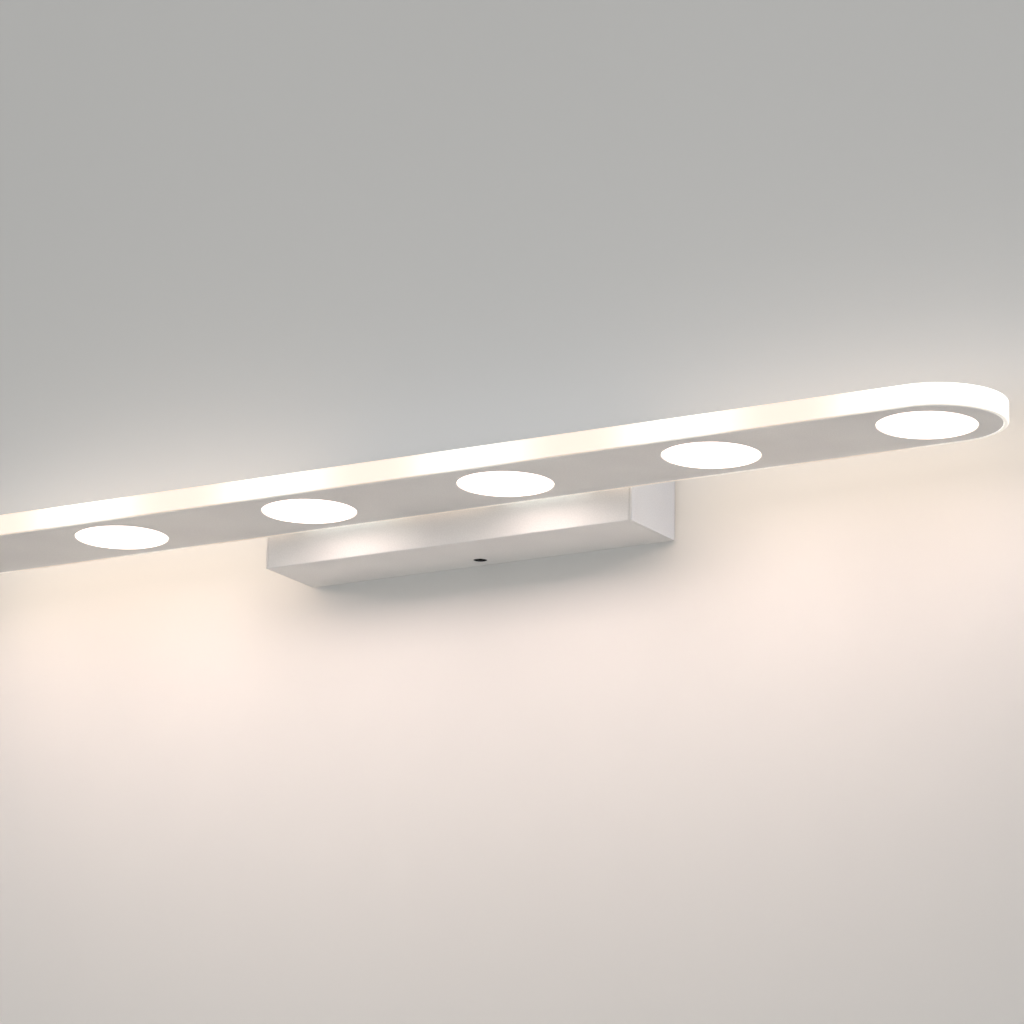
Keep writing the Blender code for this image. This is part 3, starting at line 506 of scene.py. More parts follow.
def cut(mesh, tools, joined=()):
    """The mesh with the joined meshes added and the tool meshes cut out of it; exact, and done once here so
    nothing stays live."""
    body = bpy.data.objects.new("blank", mesh)
    bpy.context.scene.collection.objects.link(body)
    helpers = []
    for tool, operation in [*((j, "UNION") for j in joined), *((t, "DIFFERENCE") for t in tools)]:
        helper = bpy.data.objects.new("tool", tool)
        bpy.context.scene.collection.objects.link(helper)
        step = body.modifiers.new("cut", "BOOLEAN")
        step.operation, step.solver, step.object = operation, "EXACT", helper
        helpers.append(helper)
    graph = bpy.context.evaluated_depsgraph_get()
    made = bpy.data.meshes.new_from_object(body.evaluated_get(graph))
    for each in [body, *helpers]:
        bpy.data.objects.remove(each)
    return made


def through_route(knots, per_stretch=10):
    """Points of a smooth curve through the knots: on each stretch the cubic with the neighbours' slopes."""
    knots = np.asarray(knots, float)
    padded = np.concatenate([2 * knots[:1] - knots[1:2], knots, 2 * knots[-1:] - knots[-2:-1]])
    t = (np.arange(per_stretch) / per_stretch)[None, :, None]
    a, b, c, d = (padded[i : len(padded) - 3 + i, None, :] for i in range(4))
    curve = 0.5 * (2 * b + (c - a) * t + (2 * a - 5 * b + 4 * c - d) * t**2 + (3 * b - a - 3 * c + d) * t**3)
    return np.concatenate([curve.reshape(-1, 3), knots[-1:]])


def square_to(route):
    """Two unit directions at each point of a route, square to it and to each other."""
    ahead = np.gradient(route, axis=0)
    ahead /= np.linalg.norm(ahead, axis=1)[:, None]
    aslant = np.array([0.123, 0.456, 0.881])  # along no lead's way
    side = np.cross(ahead, aslant)
    side /= np.linalg.norm(side, axis=1)[:, None]
    return side, np.cross(ahead, side)


def wire_along(route, diameter, count=20):
    """Insulation: a circle carried along the route, square to it, its ends closed with a small round."""
    side, over = square_to(route)
    angle = (np.arange(count) * TAU / count)[None, :, None]
    end = [0, diameter * 0.42]
    spine = np.concatenate([route[:1], route[:1], route, route[-1:], route[-1:]])
    radius = np.concatenate([end, np.full(len(route), diameter / 2), end[::-1]])
    side = np.concatenate([side[:1], side[:1], side, side[-1:], side[-1:]])[:, None, :]
    over = np.concatenate([over[:1], over[:1], over, over[-1:], over[-1:]])[:, None, :]
    loops = spine[:, None, :] + radius[:, None, None] * (np.cos(angle) * side + np.sin(angle) * over)
    return Surface().add(loops, joined_faces(len(spine), count))


def wrap(mesh, route):
    """Gives a wire's mesh its own UV: metres along the route, and the share of a turn round it. A face that
    spans the end of the turn has its corners carried past it."""
    points = np.empty(len(mesh.vertices) * 3)
    mesh.vertices.foreach_get("co", points)
    points = points.reshape(-1, 3)
    nearest = np.linalg.norm(points[:, None] - route[None], axis=2).argmin(axis=1)
    side, over = square_to(route)
    out = points - route[nearest]
    turn = np.arctan2((out * over[nearest]).sum(axis=1), (out * side[nearest]).sum(axis=1)) / TAU
    along = np.concatenate([[0], np.linalg.norm(np.diff(route, axis=0), axis=1).cumsum()])[nearest]
    corner = np.empty(len(mesh.loops), int)
    mesh.loops.foreach_get("vertex_index", corner)
    start, size = np.empty(len(mesh.polygons), int), np.empty(len(mesh.polygons), int)
    mesh.polygons.foreach_get("loop_start", start)
    mesh.polygons.foreach_get("loop_total", size)
    first = turn[corner[np.repeat(start, size)]]
    turn = first + (turn[corner] - first + 0.5) % 1.0 - 0.5
    layer = mesh.uv_layers.new(name="wrap")
    layer.data.foreach_set("uv", np.stack([along[corner], turn], axis=1).ravel())


# ---------------------------------------------------------------- finishes



def size_of(name):
    """(lowest, highest, middle) of a CAD node, as arrays."""
    low, high = (np.array(corner, float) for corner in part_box(name))
    return low, high, (low + high) / 2


LENSES = [f"lens_{i}" for i in range(1, 7)]
lens_centres = [size_of(name)[2] for name in LENSES]
MODULE_PITCH = float(lens_centres[1][0] - lens_centres[0][0])
LAST_LENS = float(lens_centres[-1][0])

aluminium = satin_anodised_aluminium()
lit_edge = lit_opal_acrylic(MODULE_PITCH, LAST_LENS, 0.95)
lit_lens = lit_opal_lens(1.8)
zinc = plated_metal("zinc_plated_steel", "#A3A6AA", "#C9CCCE", 0.34, 6.0)
rolled_zinc = plated_metal("galvanised_sheet", "#B9BBBC", "#CDCFCF", 0.46, 7.0, lines=0.9, metallic=0.6)
black_oxide = plated_metal("black_oxide_steel", "#08090A", "#151618", 0.46, 3.0, metallic=0.6)
brass = plated_metal("turned_brass", "#B08B46", "#CDAA62", 0.28, 4.0)
case_plastic = moulded_plastic("white_polycarbonate", "#E6E5E0", "#DEDDD7", 0.42, 0.6, 1.58)
terminal_plastic = moulded_plastic("natural_polyamide", "#DCD9CC", "#D2CFC0", 0.46, 0.5, 1.53)
rubber = moulded_plastic("black_epdm_rubber", "#1C1C1D", "#141415", 0.72, 0.7, 1.47)
foam = closed_cell_foam()
white_board = circuit_board("white_solder_mask", "#ECEBE4", "#F6F5EF")
green_board = circuit_board("green_solder_mask", "#0F5A33", "#1C7A48")
INSULATION = {
    "red": moulded_plastic("red_pvc", "#B3221C", "#9C1B17", 0.40, 0.9, 1.53),
    "black": moulded_plastic("black_pvc", "#1D1D1F", "#151516", 0.40, 0.9, 1.53),
    "brown": moulded_plastic("brown_pvc", "#6B4226", "#5B371F", 0.40, 0.9, 1.53),
    "blue": moulded_plastic("blue_pvc", "#2557A8", "#1D4A94", 0.40, 0.9, 1.53),
    "green_yellow": striped_pvc(),
}

# ---------------------------------------------------------------- the light bar

bar_low, bar_high, bar_middle = size_of("edge_diffuser")
plate_low, plate_high, plate_middle = size_of("bottom_plate")
cover_low, cover_high, cover_middle = size_of("top_plate")
bar_length, bar_width = (bar_high - bar_low)[:2]
plate_length, plate_width = (plate_high - plate_low)[:2]
LENS_RADIUS = 0.0245
LENS_FLANGE = 0.0268
OPAL_WALL = 0.0065
PLATE_ARRIS = 0.00018
CLOSE = 0.0002  # between pieces that rest on each other


def glowing_edge():
    """The opal ring: one section, from its outer face round both rebates to the cavity, carried round the
    stadium. Each point of the section is (how far in, height)."""
    bottom, top = bar_low[2], bar_high[2]
    lip = (bar_width - plate_width) / 2 - CLOSE
    seat, over = plate_high[2] + CLOSE, cover_low[2] - CLOSE
    outer, inner, wall = 0.0009, 0.0002, OPAL_WALL
    section = np.concatenate(
        [
            arc((outer, bottom + outer), outer, 180, 270, 8),
            arc((lip - inner, bottom + inner), inner, 270, 360, 3),
            [(lip, seat), (wall, seat), (wall, over), (lip, over)],
            arc((lip - inner, top - inner), inner, 0, 90, 3),
            arc((outer, top - outer), outer, 90, 180, 8),
        ]
    )
    loops = np.stack([stadium_loop(bar_length - 2 * d, bar_width - 2 * d) for d, _ in section])
    height = np.broadcast_to(section[:, 1][:, None, None], (*loops.shape[:2], 1))
    ring = Surface().add(
        np.concatenate([loops, height], axis=2), joined_faces(len(section), loops.shape[1], closed_rows=True)
    )
    mesh = ring.mesh("glowing_edge", shift=(bar_middle[0], bar_middle[1], 0))
    finished("glowing_edge", mesh, lit_edge, "luminaire", ["edge_diffuser"], 40)


def plate_outline(inset):
    """The stadium of both plates, drawn in all round."""
    return stadium_loop(plate_length - 2 * inset, plate_width - 2 * inset)


def under_plate():
    """The plate below, with a round hole for each lens and fine arrises."""
    holes = [lambda d, c=c: round_loop(LENS_RADIUS - d, AROUND, (c - plate_middle)[:2]) for c in lens_centres]
    made = plate(plate_outline, holes, plate_low[2], plate_high[2], PLATE_ARRIS)
    mesh = made.mesh("under_plate", shift=(plate_middle[0], plate_middle[1], 0))
    finished("under_plate", mesh, aluminium, "luminaire", ["bottom_plate"], 35)


COVER_SCREWS = [f"cover_screw_{i}" for i in range(1, 6)] + ["block_screw_left", "block_screw_right"]


def cover_plate():
    """The plate above, countersunk for each of its screws."""
    made = plate(plate_outline, [], cover_low[2], cover_high[2], PLATE_ARRIS)
    mesh = made.mesh("cover_plate", shift=(cover_middle[0], cover_middle[1], 0))
    top, thick = cover_high[2], cover_high[2] - cover_low[2]
    room, over = 0.0001, 0.001
    tools = []
    for name in COVER_SCREWS:
        low, high, middle = size_of(name)
        head = (high - low)[0] / 2 + room
        sink = turned(
            [0, head - thick, head - thick, head, head + room, 0],
            [top - 2 * thick, top - 2 * thick, top - thick, top, top + over, top + over],
        )
        tools.append(sink.mesh("sink", shift=(middle[0], middle[1], 0)))
    finished("cover_plate", cut(mesh, tools), aluminium, "luminaire", ["top_plate"], 35)


def flat_lens(name, centre, low, high):
    """A lens: a turned disc whose face is a very low crown, rising with the square of the radius, with a
    rounded arris, standing on a flange."""
    face, ease, rise = LENS_RADIUS - 0.0004, 0.00035, 0.00012
    radius = np.linspace(0, face - ease, 14)
    crown = low + rise * (radius / face) ** 2
    corner = arc((face - ease, crown[-1] + ease), ease, 270, 360, 6)
    seat = plate_high[2] + CLOSE
    radii = np.concatenate([radius, corner[1:, 0], [face, LENS_FLANGE, LENS_FLANGE, 0]])
    heights = np.concatenate([crown, corner[1:, 1], [seat, seat, high, high]])
    mesh = turned(list(radii), heights, AROUND).mesh(name, shift=(centre[0], centre[1], 0))
    finished(name + "_face", mesh, lit_lens, "luminaire", [name], 40)


def countersunk(name):
    """A countersunk screw: a hexagon socket drawn by ring radii that follow the hexagon, a flat head, its
    cone and a threaded shank."""
    low, high, middle = size_of(name)
    length, head, shank, socket = (high - low)[2], (high - low)[0] / 2, 0.0013, hexagon(0.0020)
    cone = head - shank
    z = np.linspace(CLOSE - length, -cone - CLOSE, 46)
    rim = [shank, head - 0.0001, head, head - 0.0001]
    ridges = thread(z + high[2], shank, 0.0005, 0.00012)
    radii = [0, shank * 0.75, *ridges, *rim, socket * 1.06, socket, socket, 0]
    heights = [-length, -length, *z, -cone, -0.00012, -0.00006, 0, 0, -0.00008, -0.0010, -0.0013]
    mesh = turned(radii, heights).mesh(name, shift=(middle[0], middle[1], high[2]))
    finished(name + "_socket_head", mesh, zinc, "luminaire", [name], 30)


glowing_edge()
under_plate()
cover_plate()
for lens, lens_centre in zip(LENSES, lens_centres):
    lens_low, lens_high, _ = size_of(lens)
    flat_lens(lens, lens_centre, lens_low[2], lens_high[2])
for screw in COVER_SCREWS:
    countersunk(screw)

# ---------------------------------------------------------------- the canopy

channel_low, channel_high, _ = size_of("canopy_channel")
_, cap_high, _ = size_of("end_cap_right")
SHEET = 0.0015
LOCK_PITCH = 0.0008  # thread of the locking screw and its nut


def drill(radius, low, high, turn, shift, chamfer=0.0):
    """A round cutter along Z, opened out by a chamfer at its lower end, then turned and shifted."""
    past = 0.0005
    radii = [0, radius + chamfer + past, radius + chamfer, radius, radius, 0]
    heights = [low - past, low - past, low, low + chamfer + 1e-6, high, high]
    return turned(radii, heights).mesh("drill", turn, shift)


def canopy_shell():
    """Front, top and underside of the canopy in one section: outer corners and free edges are small
    quarter circles, inner corners a tighter one. It is carried along X between the end caps."""
    front, back = channel_low[1], channel_high[1]
    bottom, top = channel_low[2], channel_high[2]
    r, e = 0.0008, 0.00025
    inner_front, inner_low, inner_high = front + SHEET, bottom + SHEET, top - SHEET
    section = np.concatenate(
        [
            arc((back - e, bottom + e), e, 0, -90, 3),
            arc((front + r, bottom + r), r, 270, 180, 8),
            arc((front + r, top - r), r, 180, 90, 8),
            arc((back - e, top - e), e, 90, 0, 3),
            arc((back - e, inner_high + e), e, 0, -90, 3),
            arc((inner_front + e, inner_high - e), e, 90, 180, 3),
            arc((inner_front + e, inner_low + e), e, 180, 270, 3),
            arc((back - e, inner_low - e), e, 90, 0, 3),
        ]
    )
    mesh = extruded(section, channel_low[0] - CLOSE, channel_high[0] + CLOSE).mesh("canopy_shell")
    screw = size_of("locking_screw")[2]
    tools = [drill(0.0037, bottom, inner_low + 0.001, None, (screw[0], screw[1], 0), 0.0002)]
    for name, radius in (("arm_bolt_left", 0.0020), ("arm_bolt_right", 0.0020), ("cable_bush", 0.0036)):
        x, _, z = size_of(name)[2]
        tools.append(drill(radius, -0.002, 0.002, STAND_Y, (x, front + SHEET / 2, z)))
    shell = cut(mesh, tools)
    finished("canopy_shell", shell, aluminium, "luminaire", ["canopy_channel"], 25)


def canopy_end(name, side):
    """An end cap: a plate with rounded corners and arrises, and the two tongues welded behind it."""
    low, high, _ = size_of(name)
    depth, height = (high - low)[1:]
    middle = ((low + high) / 2)[1:]
    outer = high[0] if side > 0 else low[0]
    x0, x1 = sorted((outer, outer - side * SHEET))
    cap = plate(
        lambda d: corner_loop(depth - 2 * d, height - 2 * d, 0.0008 - min(d, 0.0006)), [], x0, x1, 0.00035
    )
    y0, y1 = channel_low[1] + SHEET + 0.004, channel_high[1] - 0.018
    t0, t1 = sorted((outer - side * SHEET * 0.6, low[0] if side > 0 else high[0]))
    thick, room = 0.0012, 0.0003
    for up in (1, -1):
        z0 = up * (height / 2 - SHEET - room - thick / 2)
        place = np.array([(y0 + y1) / 2, z0]) - middle
        tongue = plate(
            lambda d, at=place: corner_loop(y1 - y0 - 2 * d, thick - 2 * d, 0.0002) + at, [], t0, t1, 0.0002
        )
        cap.add(np.concatenate(tongue.points), *tongue.faces)
    mesh = cap.mesh(name, turn=STAND_X, shift=(0, middle[0], middle[1]))
    finished(name + "_plate", mesh, aluminium, "luminaire", [name], 25)


def sleeve(name, finish, slot, bore):
    """A turned sleeve along Y with a chamfer at each end."""
    low, high, middle = size_of(name)
    radius, length, c = (high - low)[0] / 2, (high - low)[1], 0.0003
    radii = [bore, bore + c, radius - c, radius, radius, radius - c, bore + c, bore]
    heights = np.array([c, 0, 0, c, length - c, length, length, length - c])
    mesh = turned(radii, heights, sleeve=True).mesh(name, turn=STAND_Y, shift=(middle[0], high[1], middle[2]))
    finished(name + "_sleeve", mesh, finish, "luminaire", [name], 30)


def bush():
    """The moulded sleeve for the LED leads, with a rounded flange inside the canopy."""
    low, high, middle = size_of("cable_bush")
    length, flange = (high - low)[1], (high - low)[0] / 2
    body, bore, thick, r = 0.0033, 0.0024, 0.0015, 0.0004
    nose = arc((flange - r, r), r, 270, 360, 5)
    back = arc((flange - r, thick - r), r, 0, 90, 5)
    radii = [bore, bore + r, *nose[:, 0], *back[:, 0], body, body, body - r, bore]
    heights = np.array([r, 0, *nose[:, 1], *back[:, 1], thick, length - r, length, length])
    mesh = turned(radii, heights, sleeve=True).mesh("bush", STAND_Y, (middle[0], high[1], middle[2]))
    finished("bush_sleeve", mesh, rubber, "luminaire", ["cable_bush"], 30)


def grommet():
    """The ring in the bracket's cable hole: a lip on the canopy's side and a rounded throat."""
    low, high, middle = size_of("bracket_grommet")
    outer, r, e = (high - low)[0] / 2, 0.0005, 0.0002
    hole, bore, wall = outer - 0.0015, outer - 0.0035, 0.0018
    depth = (high - low)[1]
    lip = arc((outer - r, depth - r), r, 0, 90, 5)
    throat = arc((bore + r, depth - r), r, 90, 180, 5)
    radii = [bore, bore + e, hole - e, hole, hole, outer - e, *lip[:, 0], *throat[:, 0]]
    heights = np.array([e, 0, 0, e, wall - e, wall, *lip[:, 1], *throat[:, 1]])
    ring = turned(radii, heights, AROUND, sleeve=True)
    mesh = ring.mesh("grommet", turn=STAND_Y, shift=(middle[0], high[1], middle[2]))
    finished("grommet_ring", mesh, rubber, "wall_bracket", ["bracket_grommet"], 30)


def set_screw():
    """The locking screw: a hexagon socket in a cupped face below, a rolled thread, and a plain point."""
    low, high, middle = size_of("locking_screw")
    length, radius, socket = (high - low)[2], (high - low)[0] / 2, hexagon(0.0025)
    z = np.linspace(0.0004, length - 0.0009, 60)
    ridges = thread(z, radius, LOCK_PITCH, 0.00022)
    key = [0, socket * 0.98, socket, socket * 1.08]
    radii = [*key, radius - 0.0005, radius - 0.0002, *ridges, radius - 0.0008, 0]
    heights = [0.0026, 0.0022, 0.00015, 0.0, 0.0, 0.0002, *z, length, length]
    mesh = turned(radii, np.array(heights)).mesh("set_screw", shift=(middle[0], middle[1], low[2]))
    finished("set_screw", mesh, black_oxide, "locking_screw", ["locking_screw"], 28)


def earth_nut():
    """A brass nut: ring radii follow the hexagon, held back by a cone at each face, and the bore is
    chamfered at both ends."""
    low, high, middle = size_of("earth_nut")
    length, flats, bore, c = (high - low)[1], 0.0070, 0.0019, 0.0003
    rows = np.array([0.0, 0.12, 0.26, 0.5, 0.74, 0.88, 1.0]) * length
    reach = chamfered_hexagon(flats, np.minimum(rows, length - rows), 0.92)
    radii = [bore, bore + c, *reach, bore + c, bore]
    heights = [c, 0, *rows, length, length - c]
    nut = turned(radii, heights, sleeve=True)
    mesh = nut.mesh("earth_nut", turn=STAND_Y, shift=(middle[0], high[1], middle[2]))
    finished("earth_nut_hexagon", mesh, brass, "luminaire", ["earth_nut"], 25)


def clinch_nut():
    """The locking screw's nut in one turned outline: a neck with a chamfered mouth fills the hole from
    below, and the hexagon rests on the sheet above it; inside, a threaded bore."""
    low, high, middle = size_of("locking_nut")
    flats, neck, bore, c, gap, depth = 0.0095, 0.0036, 0.0025, 0.0003, 0.0001, 0.0002
    length, seat = high[2] - low[2], channel_low[2] + SHEET - low[2] + gap
    z = np.linspace(seat, length, 7)
    reach = chamfered_hexagon(flats, np.minimum(z - seat, length - z), 0.92)
    turns = np.linspace(length - 2 * c, 2 * c, 34)
    ridges = thread(turns, bore + depth, LOCK_PITCH, depth)
    radii = [bore + 2 * c, neck - c / 2, neck, neck, *reach, bore + 2 * c, *ridges]
    heights = [0, 0, c / 2, seat, *z, length, *turns]
    mesh = turned(radii, heights, sleeve=True).mesh("clinch_nut", shift=(middle[0], middle[1], low[2]))
    finished("clinch_nut", mesh, black_oxide, "luminaire", ["locking_nut"], 25)


def arm_bolt(name):
    """A hexagon-head bolt seen inside the canopy: chamfered head, fillet and threaded shank."""
    low, high, middle = size_of(name)
    length, flats, head, shank, fillet = (high - low)[1], 0.0070, 0.0028, 0.0017, 0.0004
    rows = np.array([0.0, 0.0002, 0.0005, head])
    reach = chamfered_hexagon(flats, rows, 0.90)
    z = np.linspace(head + fillet, length - 0.0004, 120)
    ridges = thread(z, shank, 0.0007, 0.00018)
    radii = [0, flats / 2 / math.cos(math.pi / 6) * 0.80, *reach, shank + 0.0001, *ridges, shank * 0.7, 0]
    heights = np.array([0, 0, *rows, head, *z, length, length])
    mesh = turned(radii, heights).mesh(name, turn=STAND_Y, shift=(middle[0], high[1], middle[2]))
    finished(name + "_hexagon_head", mesh, zinc, "luminaire", [name], 28)


canopy_shell()
canopy_end("end_cap_left", -1)
canopy_end("end_cap_right", 1)
for spacer in ("spacer_left", "spacer_right"):
    sleeve(spacer, aluminium, "satin_aluminium", 0.0020)
for bolt in ("arm_bolt_left", "arm_bolt_right"):
    arm_bolt(bolt)
bush()
grommet()
set_screw()
clinch_nut()
earth_nut()

# ---------------------------------------------------------------- on the wall and inside the canopy


def bracket_sheet():
    """The folded strip on the wall: a channel section with rounded bends carried along X. Slots, the cable
    hole and the room round the nut are cut out of it, and the middle of its lower flange, folded out higher
    up as a tongue, is a second section joined on."""
    low, high, _ = size_of("wall_bracket")
    half, depth, bend, e, slot_x = high[2], -low[1], 0.0021, 0.0002, high[0] - 0.0360
    section = np.concatenate(
        [
            arc((-depth + e, -half + e), e, 180, 270, 3),
            arc((-bend, -half + bend), bend, 270, 360, 8),
            arc((-bend, half - bend), bend, 0, 90, 8),
            arc((-depth + e, half - e), e, 90, 180, 3),
            arc((-depth + e, half - SHEET + e), e, 180, 270, 3),
            arc((-bend, half - bend), bend - SHEET, 90, 0, 6),
            arc((-bend, -half + bend), bend - SHEET, 0, -90, 6),
            arc((-depth + e, -half + SHEET - e), e, 90, 180, 3),
        ]
    )
    under = size_of("locking_nut")[1][2] + 0.0012
    tip = size_of("locking_screw")[2][1] - 0.0033
    rise = under + 0.0060  # how far up the strip the tongue's own upright is joined
    fold = np.concatenate(
        [
            [(0.0, rise), (-SHEET, rise)],
            arc((-bend, under + bend), bend - SHEET, 0, -90, 6),
            arc((tip + e, under + SHEET - e), e, 90, 180, 3),
            arc((tip + e, under + e), e, 180, 270, 3),
            arc((-bend, under + bend), bend, 270, 360, 8),
        ]
    )
    tongue_half, notch_w, notch_top = 0.0080, 0.0240, 0.0030
    tongue = extruded(fold, -tongue_half, tongue_half).mesh("tongue")
    cable = size_of("bracket_grommet")[2]
    slot = stadium_loop(0.0140, 0.0045, 24)
    punches = [(slot, -slot_x, 0), (slot, slot_x, 0), (round_loop(0.0110), cable[0], cable[2])]
    tools = [straight(loop, -0.002, 0.004).mesh("punch", STAND_Y, (x, 0, z)) for loop, x, z in punches]
    notch = straight(corner_loop(notch_w, notch_w, 0.0015), 0.0, 0.0240)
    tools.append(notch.mesh("notch", STAND_Y, (0, 0.002, under + notch_top - notch_w / 2)))
    # The flanges' corners are clipped at 45 degrees.
    clip, past = straight(corner_loop(0.0060, 0.0060, 0.0001), -0.002, 0.002), 0.0010
    eighth = np.array(Matrix.Rotation(math.pi / 4, 3, "Z"))
    for side in (-1, 1):
        for up in (-1, 1):
            place = (side * (high[0] + past), low[1] - past, up * (half - SHEET / 2))
            tools.append(clip.mesh("clip", eighth, place))
    body = cut(extruded(section, low[0], high[0]).mesh("bracket_sheet"), tools)
    mesh = cut(body, [], [tongue])
    finished("bracket_sheet", mesh, rolled_zinc, "wall_bracket", ["wall_bracket"], 25)


def tray(length, width, corner, section):
    """A moulded tray or lid: each point of the section is (how far in, height), carried round a rectangle
    with rounded corners. The first and last loops are filled."""
    loops = np.stack(
        [corner_loop(length - 2 * d, width - 2 * d, max(corner - d, 0.0003)) for d, _ in section]
    )
    height = np.broadcast_to(section[:, 1][:, None, None], (*loops.shape[:2], 1))
    count = loops.shape[1]
    made = Surface().add(np.concatenate([loops, height], axis=2), joined_faces(len(section), count))
    made.faces += [filled([loops[0]]), filled([loops[-1]]) + (len(section) - 1) * count]
    return made


case_low, case_high, case_middle = size_of("driver_case")


def driver_leads():
    """(y, z) of each lead where it leaves the driver's right end."""
    deep, tall = (case_high - case_low)[1:]
    near, far = case_low[1] + deep * 0.25, case_low[1] + deep * 0.80
    low, high = tall * 0.115, tall * 0.23
    led = {"led_positive": (near, low), "led_negative": (near, -low)}
    return {**led, "live": (far, high), "neutral": (far, -high)}


def driver_shell():
    """The driver's case: a moulded tray with rounded corners, a fillet at its floor and a stepped rim, with
    round holes for the leads in its right end."""
    length, deep, tall = case_high - case_low
    e, wall = 0.0006, 0.0015
    section = np.concatenate(
        [
            arc((e, e), e, 270, 180, 4),
            arc((0.0003, deep - 0.0003), 0.0003, 180, 90, 3),
            [(wall / 2, deep), (wall / 2, deep - 0.0006), (wall, deep - 0.0006)],
            arc((wall + e, wall + e), e, 180, 270, 4),
        ]
    )
    mesh = tray(length, tall, 0.0016, section).mesh(
        "driver_shell", turn=FACING_WALL, shift=(case_middle[0], case_low[1], case_middle[2])
    )
    tools = [drill(0.0012, -0.003, 0.003, STAND_X, (case_high[0], y, z)) for y, z in driver_leads().values()]
    case = cut(mesh, tools)
    finished("driver_shell", case, case_plastic, "luminaire", ["driver_case"], 30)


def driver_cover():
    """The driver's lid: rounded arrises, a shallow field inside a frame, two ribs across it, and a sunk
    screw near each end."""
    low, high, middle = size_of("driver_lid")
    length, thick, tall = high - low
    e, frame_width, sunk = 0.0004, 0.0022, 0.0004
    section = np.concatenate(
        [
            arc((e, e), e, 270, 180, 4),
            arc((e, thick - e), e, 180, 90, 4),
            [(frame_width, thick), (frame_width + 0.0003, thick - sunk)],
        ]
    )
    place = (middle[0], low[1], middle[2])
    mesh = tray(length, tall, 0.0016, section).mesh("driver_cover", FACING_WALL, place)
    rib_section = np.array([(0.0, thick - 2 * sunk), (0.0, thick - 0.0001), (0.0002, thick)])
    rib = tray(0.0012, tall - 0.008, 0.0005, rib_section)
    ribs = [rib.mesh("rib", FACING_WALL, (middle[0] + x, low[1], middle[2])) for x in (-0.030, 0.030)]
    well = turned([0, 0.0024, 0.0024, 0], [0.0006, 0.0006, 0.003, 0.003])
    ends = [middle[0] + side * (length / 2 - 0.0070) for side in (-1, 1)]
    wells = [well.mesh("well", FACING_WALL, (x, low[1], middle[2])) for x in ends]
    lid = cut(mesh, wells, ribs)
    finished("driver_cover", lid, case_plastic, "luminaire", ["driver_lid"], 30)
    screw = turned([0, 0.0020, 0.0021, 0.0020, 0.0016, 0], [0, 0, 0.0002, 0.0004, 0.0006, 0.00066])
    cross = ((0.0022, 0.0005), (0.0005, 0.0022))
    bars = [straight(corner_loop(w, h, 0.0001), 0.0003, 0.001) for w, h in cross]
    for x, name in zip(ends, ("left", "right")):
        place = (x, low[1] + 0.0007, middle[2])
        tools = [bar.mesh("bar", FACING_WALL, place) for bar in bars]
        mesh = cut(screw.mesh("screw", FACING_WALL, place), tools)
        finished("driver_screw_" + name, mesh, zinc, "luminaire")


block_low, block_high, block_middle = size_of("terminal_block")
POLES = [size_of(f"terminal_screw_{i}")[2][2] for i in range(1, 4)]


def terminal_body():
    """The terminal block: a body with rounded arrises, grooves between its poles, a well over each screw,
    and wire entries with opened-out mouths at both ends."""
    length, deep, tall = block_high - block_low
    body = plate(lambda d: corner_loop(length - 2 * d, tall - 2 * d, 0.0012 - d), [], 0, deep, 0.0006)
    place = (block_middle[0], block_low[1], block_middle[2])
    mesh = body.mesh("terminal_body", FACING_WALL, place)
    step, edge = POLES[1] - POLES[0], 0.0003
    groove = straight(corner_loop(0.0088, step * 0.16, 0.0004), -0.02, 0.02)
    between = ((POLES[0] + POLES[1]) / 2, (POLES[1] + POLES[2]) / 2)
    tools = [groove.mesh("groove", STAND_X, (block_middle[0], block_high[1], z)) for z in between]
    backwards = STAND_X @ np.diag([1, -1, -1])
    for z in POLES:
        tools.append(drill(0.0021, 0, 0.006, STAND_Y, (block_middle[0], block_high[1], z), edge))
        tools.append(drill(0.0012, 0, 0.0075, STAND_X, (block_low[0], block_middle[1], z), edge))
        tools.append(drill(0.0017, 0, 0.0075, backwards, (block_high[0], block_middle[1], z), edge))
    finished(
        "terminal_body", cut(mesh, tools), terminal_plastic, "luminaire", ["terminal_block"],
        30,
    )


def slotted_screw(name):
    """A terminal screw: a rounded cheese head with a driver slot."""
    low, high, middle = size_of(name)
    radius, length, r = (high - low)[0] / 2, (high - low)[1], 0.0003
    crown = arc((radius - r, length - r), r, 0, 90, 5)
    head = turned([0, radius - r, radius, *crown[:, 0], 0], [0, 0, r, *crown[:, 1], length])
    place = (middle[0], low[1], middle[2])
    width = 0.0008
    slot = straight(corner_loop(width, 0.0060, 0.0001), length - width, length + 0.001)
    mesh = cut(head.mesh(name, FACING_WALL, place), [slot.mesh("slot", FACING_WALL, place)])
    finished(name + "_slotted", mesh, zinc, "luminaire", [name], 30)


def threaded_stud():
    """The earth stud: a rolled thread between a weld fillet and a chamfered end."""
    low, high, middle = size_of("earth_stud")
    radius, length, fillet = (high - low)[0] / 2, (high - low)[1], 0.0006
    z = np.linspace(2 * fillet, length - 0.0005, 90)
    ridges = thread(z, radius, 0.0006, 0.00016)
    radii = [0, radius + fillet, radius + fillet / 3, radius, *ridges, radius - 0.0005, 0]
    heights = [0, 0, 0.0003, 0.0009, *z, length, length]
    mesh = turned(radii, heights).mesh("stud", turn=FACING_WALL, shift=(middle[0], low[1], middle[2]))
    finished("earth_stud_thread", mesh, brass, "luminaire", ["earth_stud"], 30)


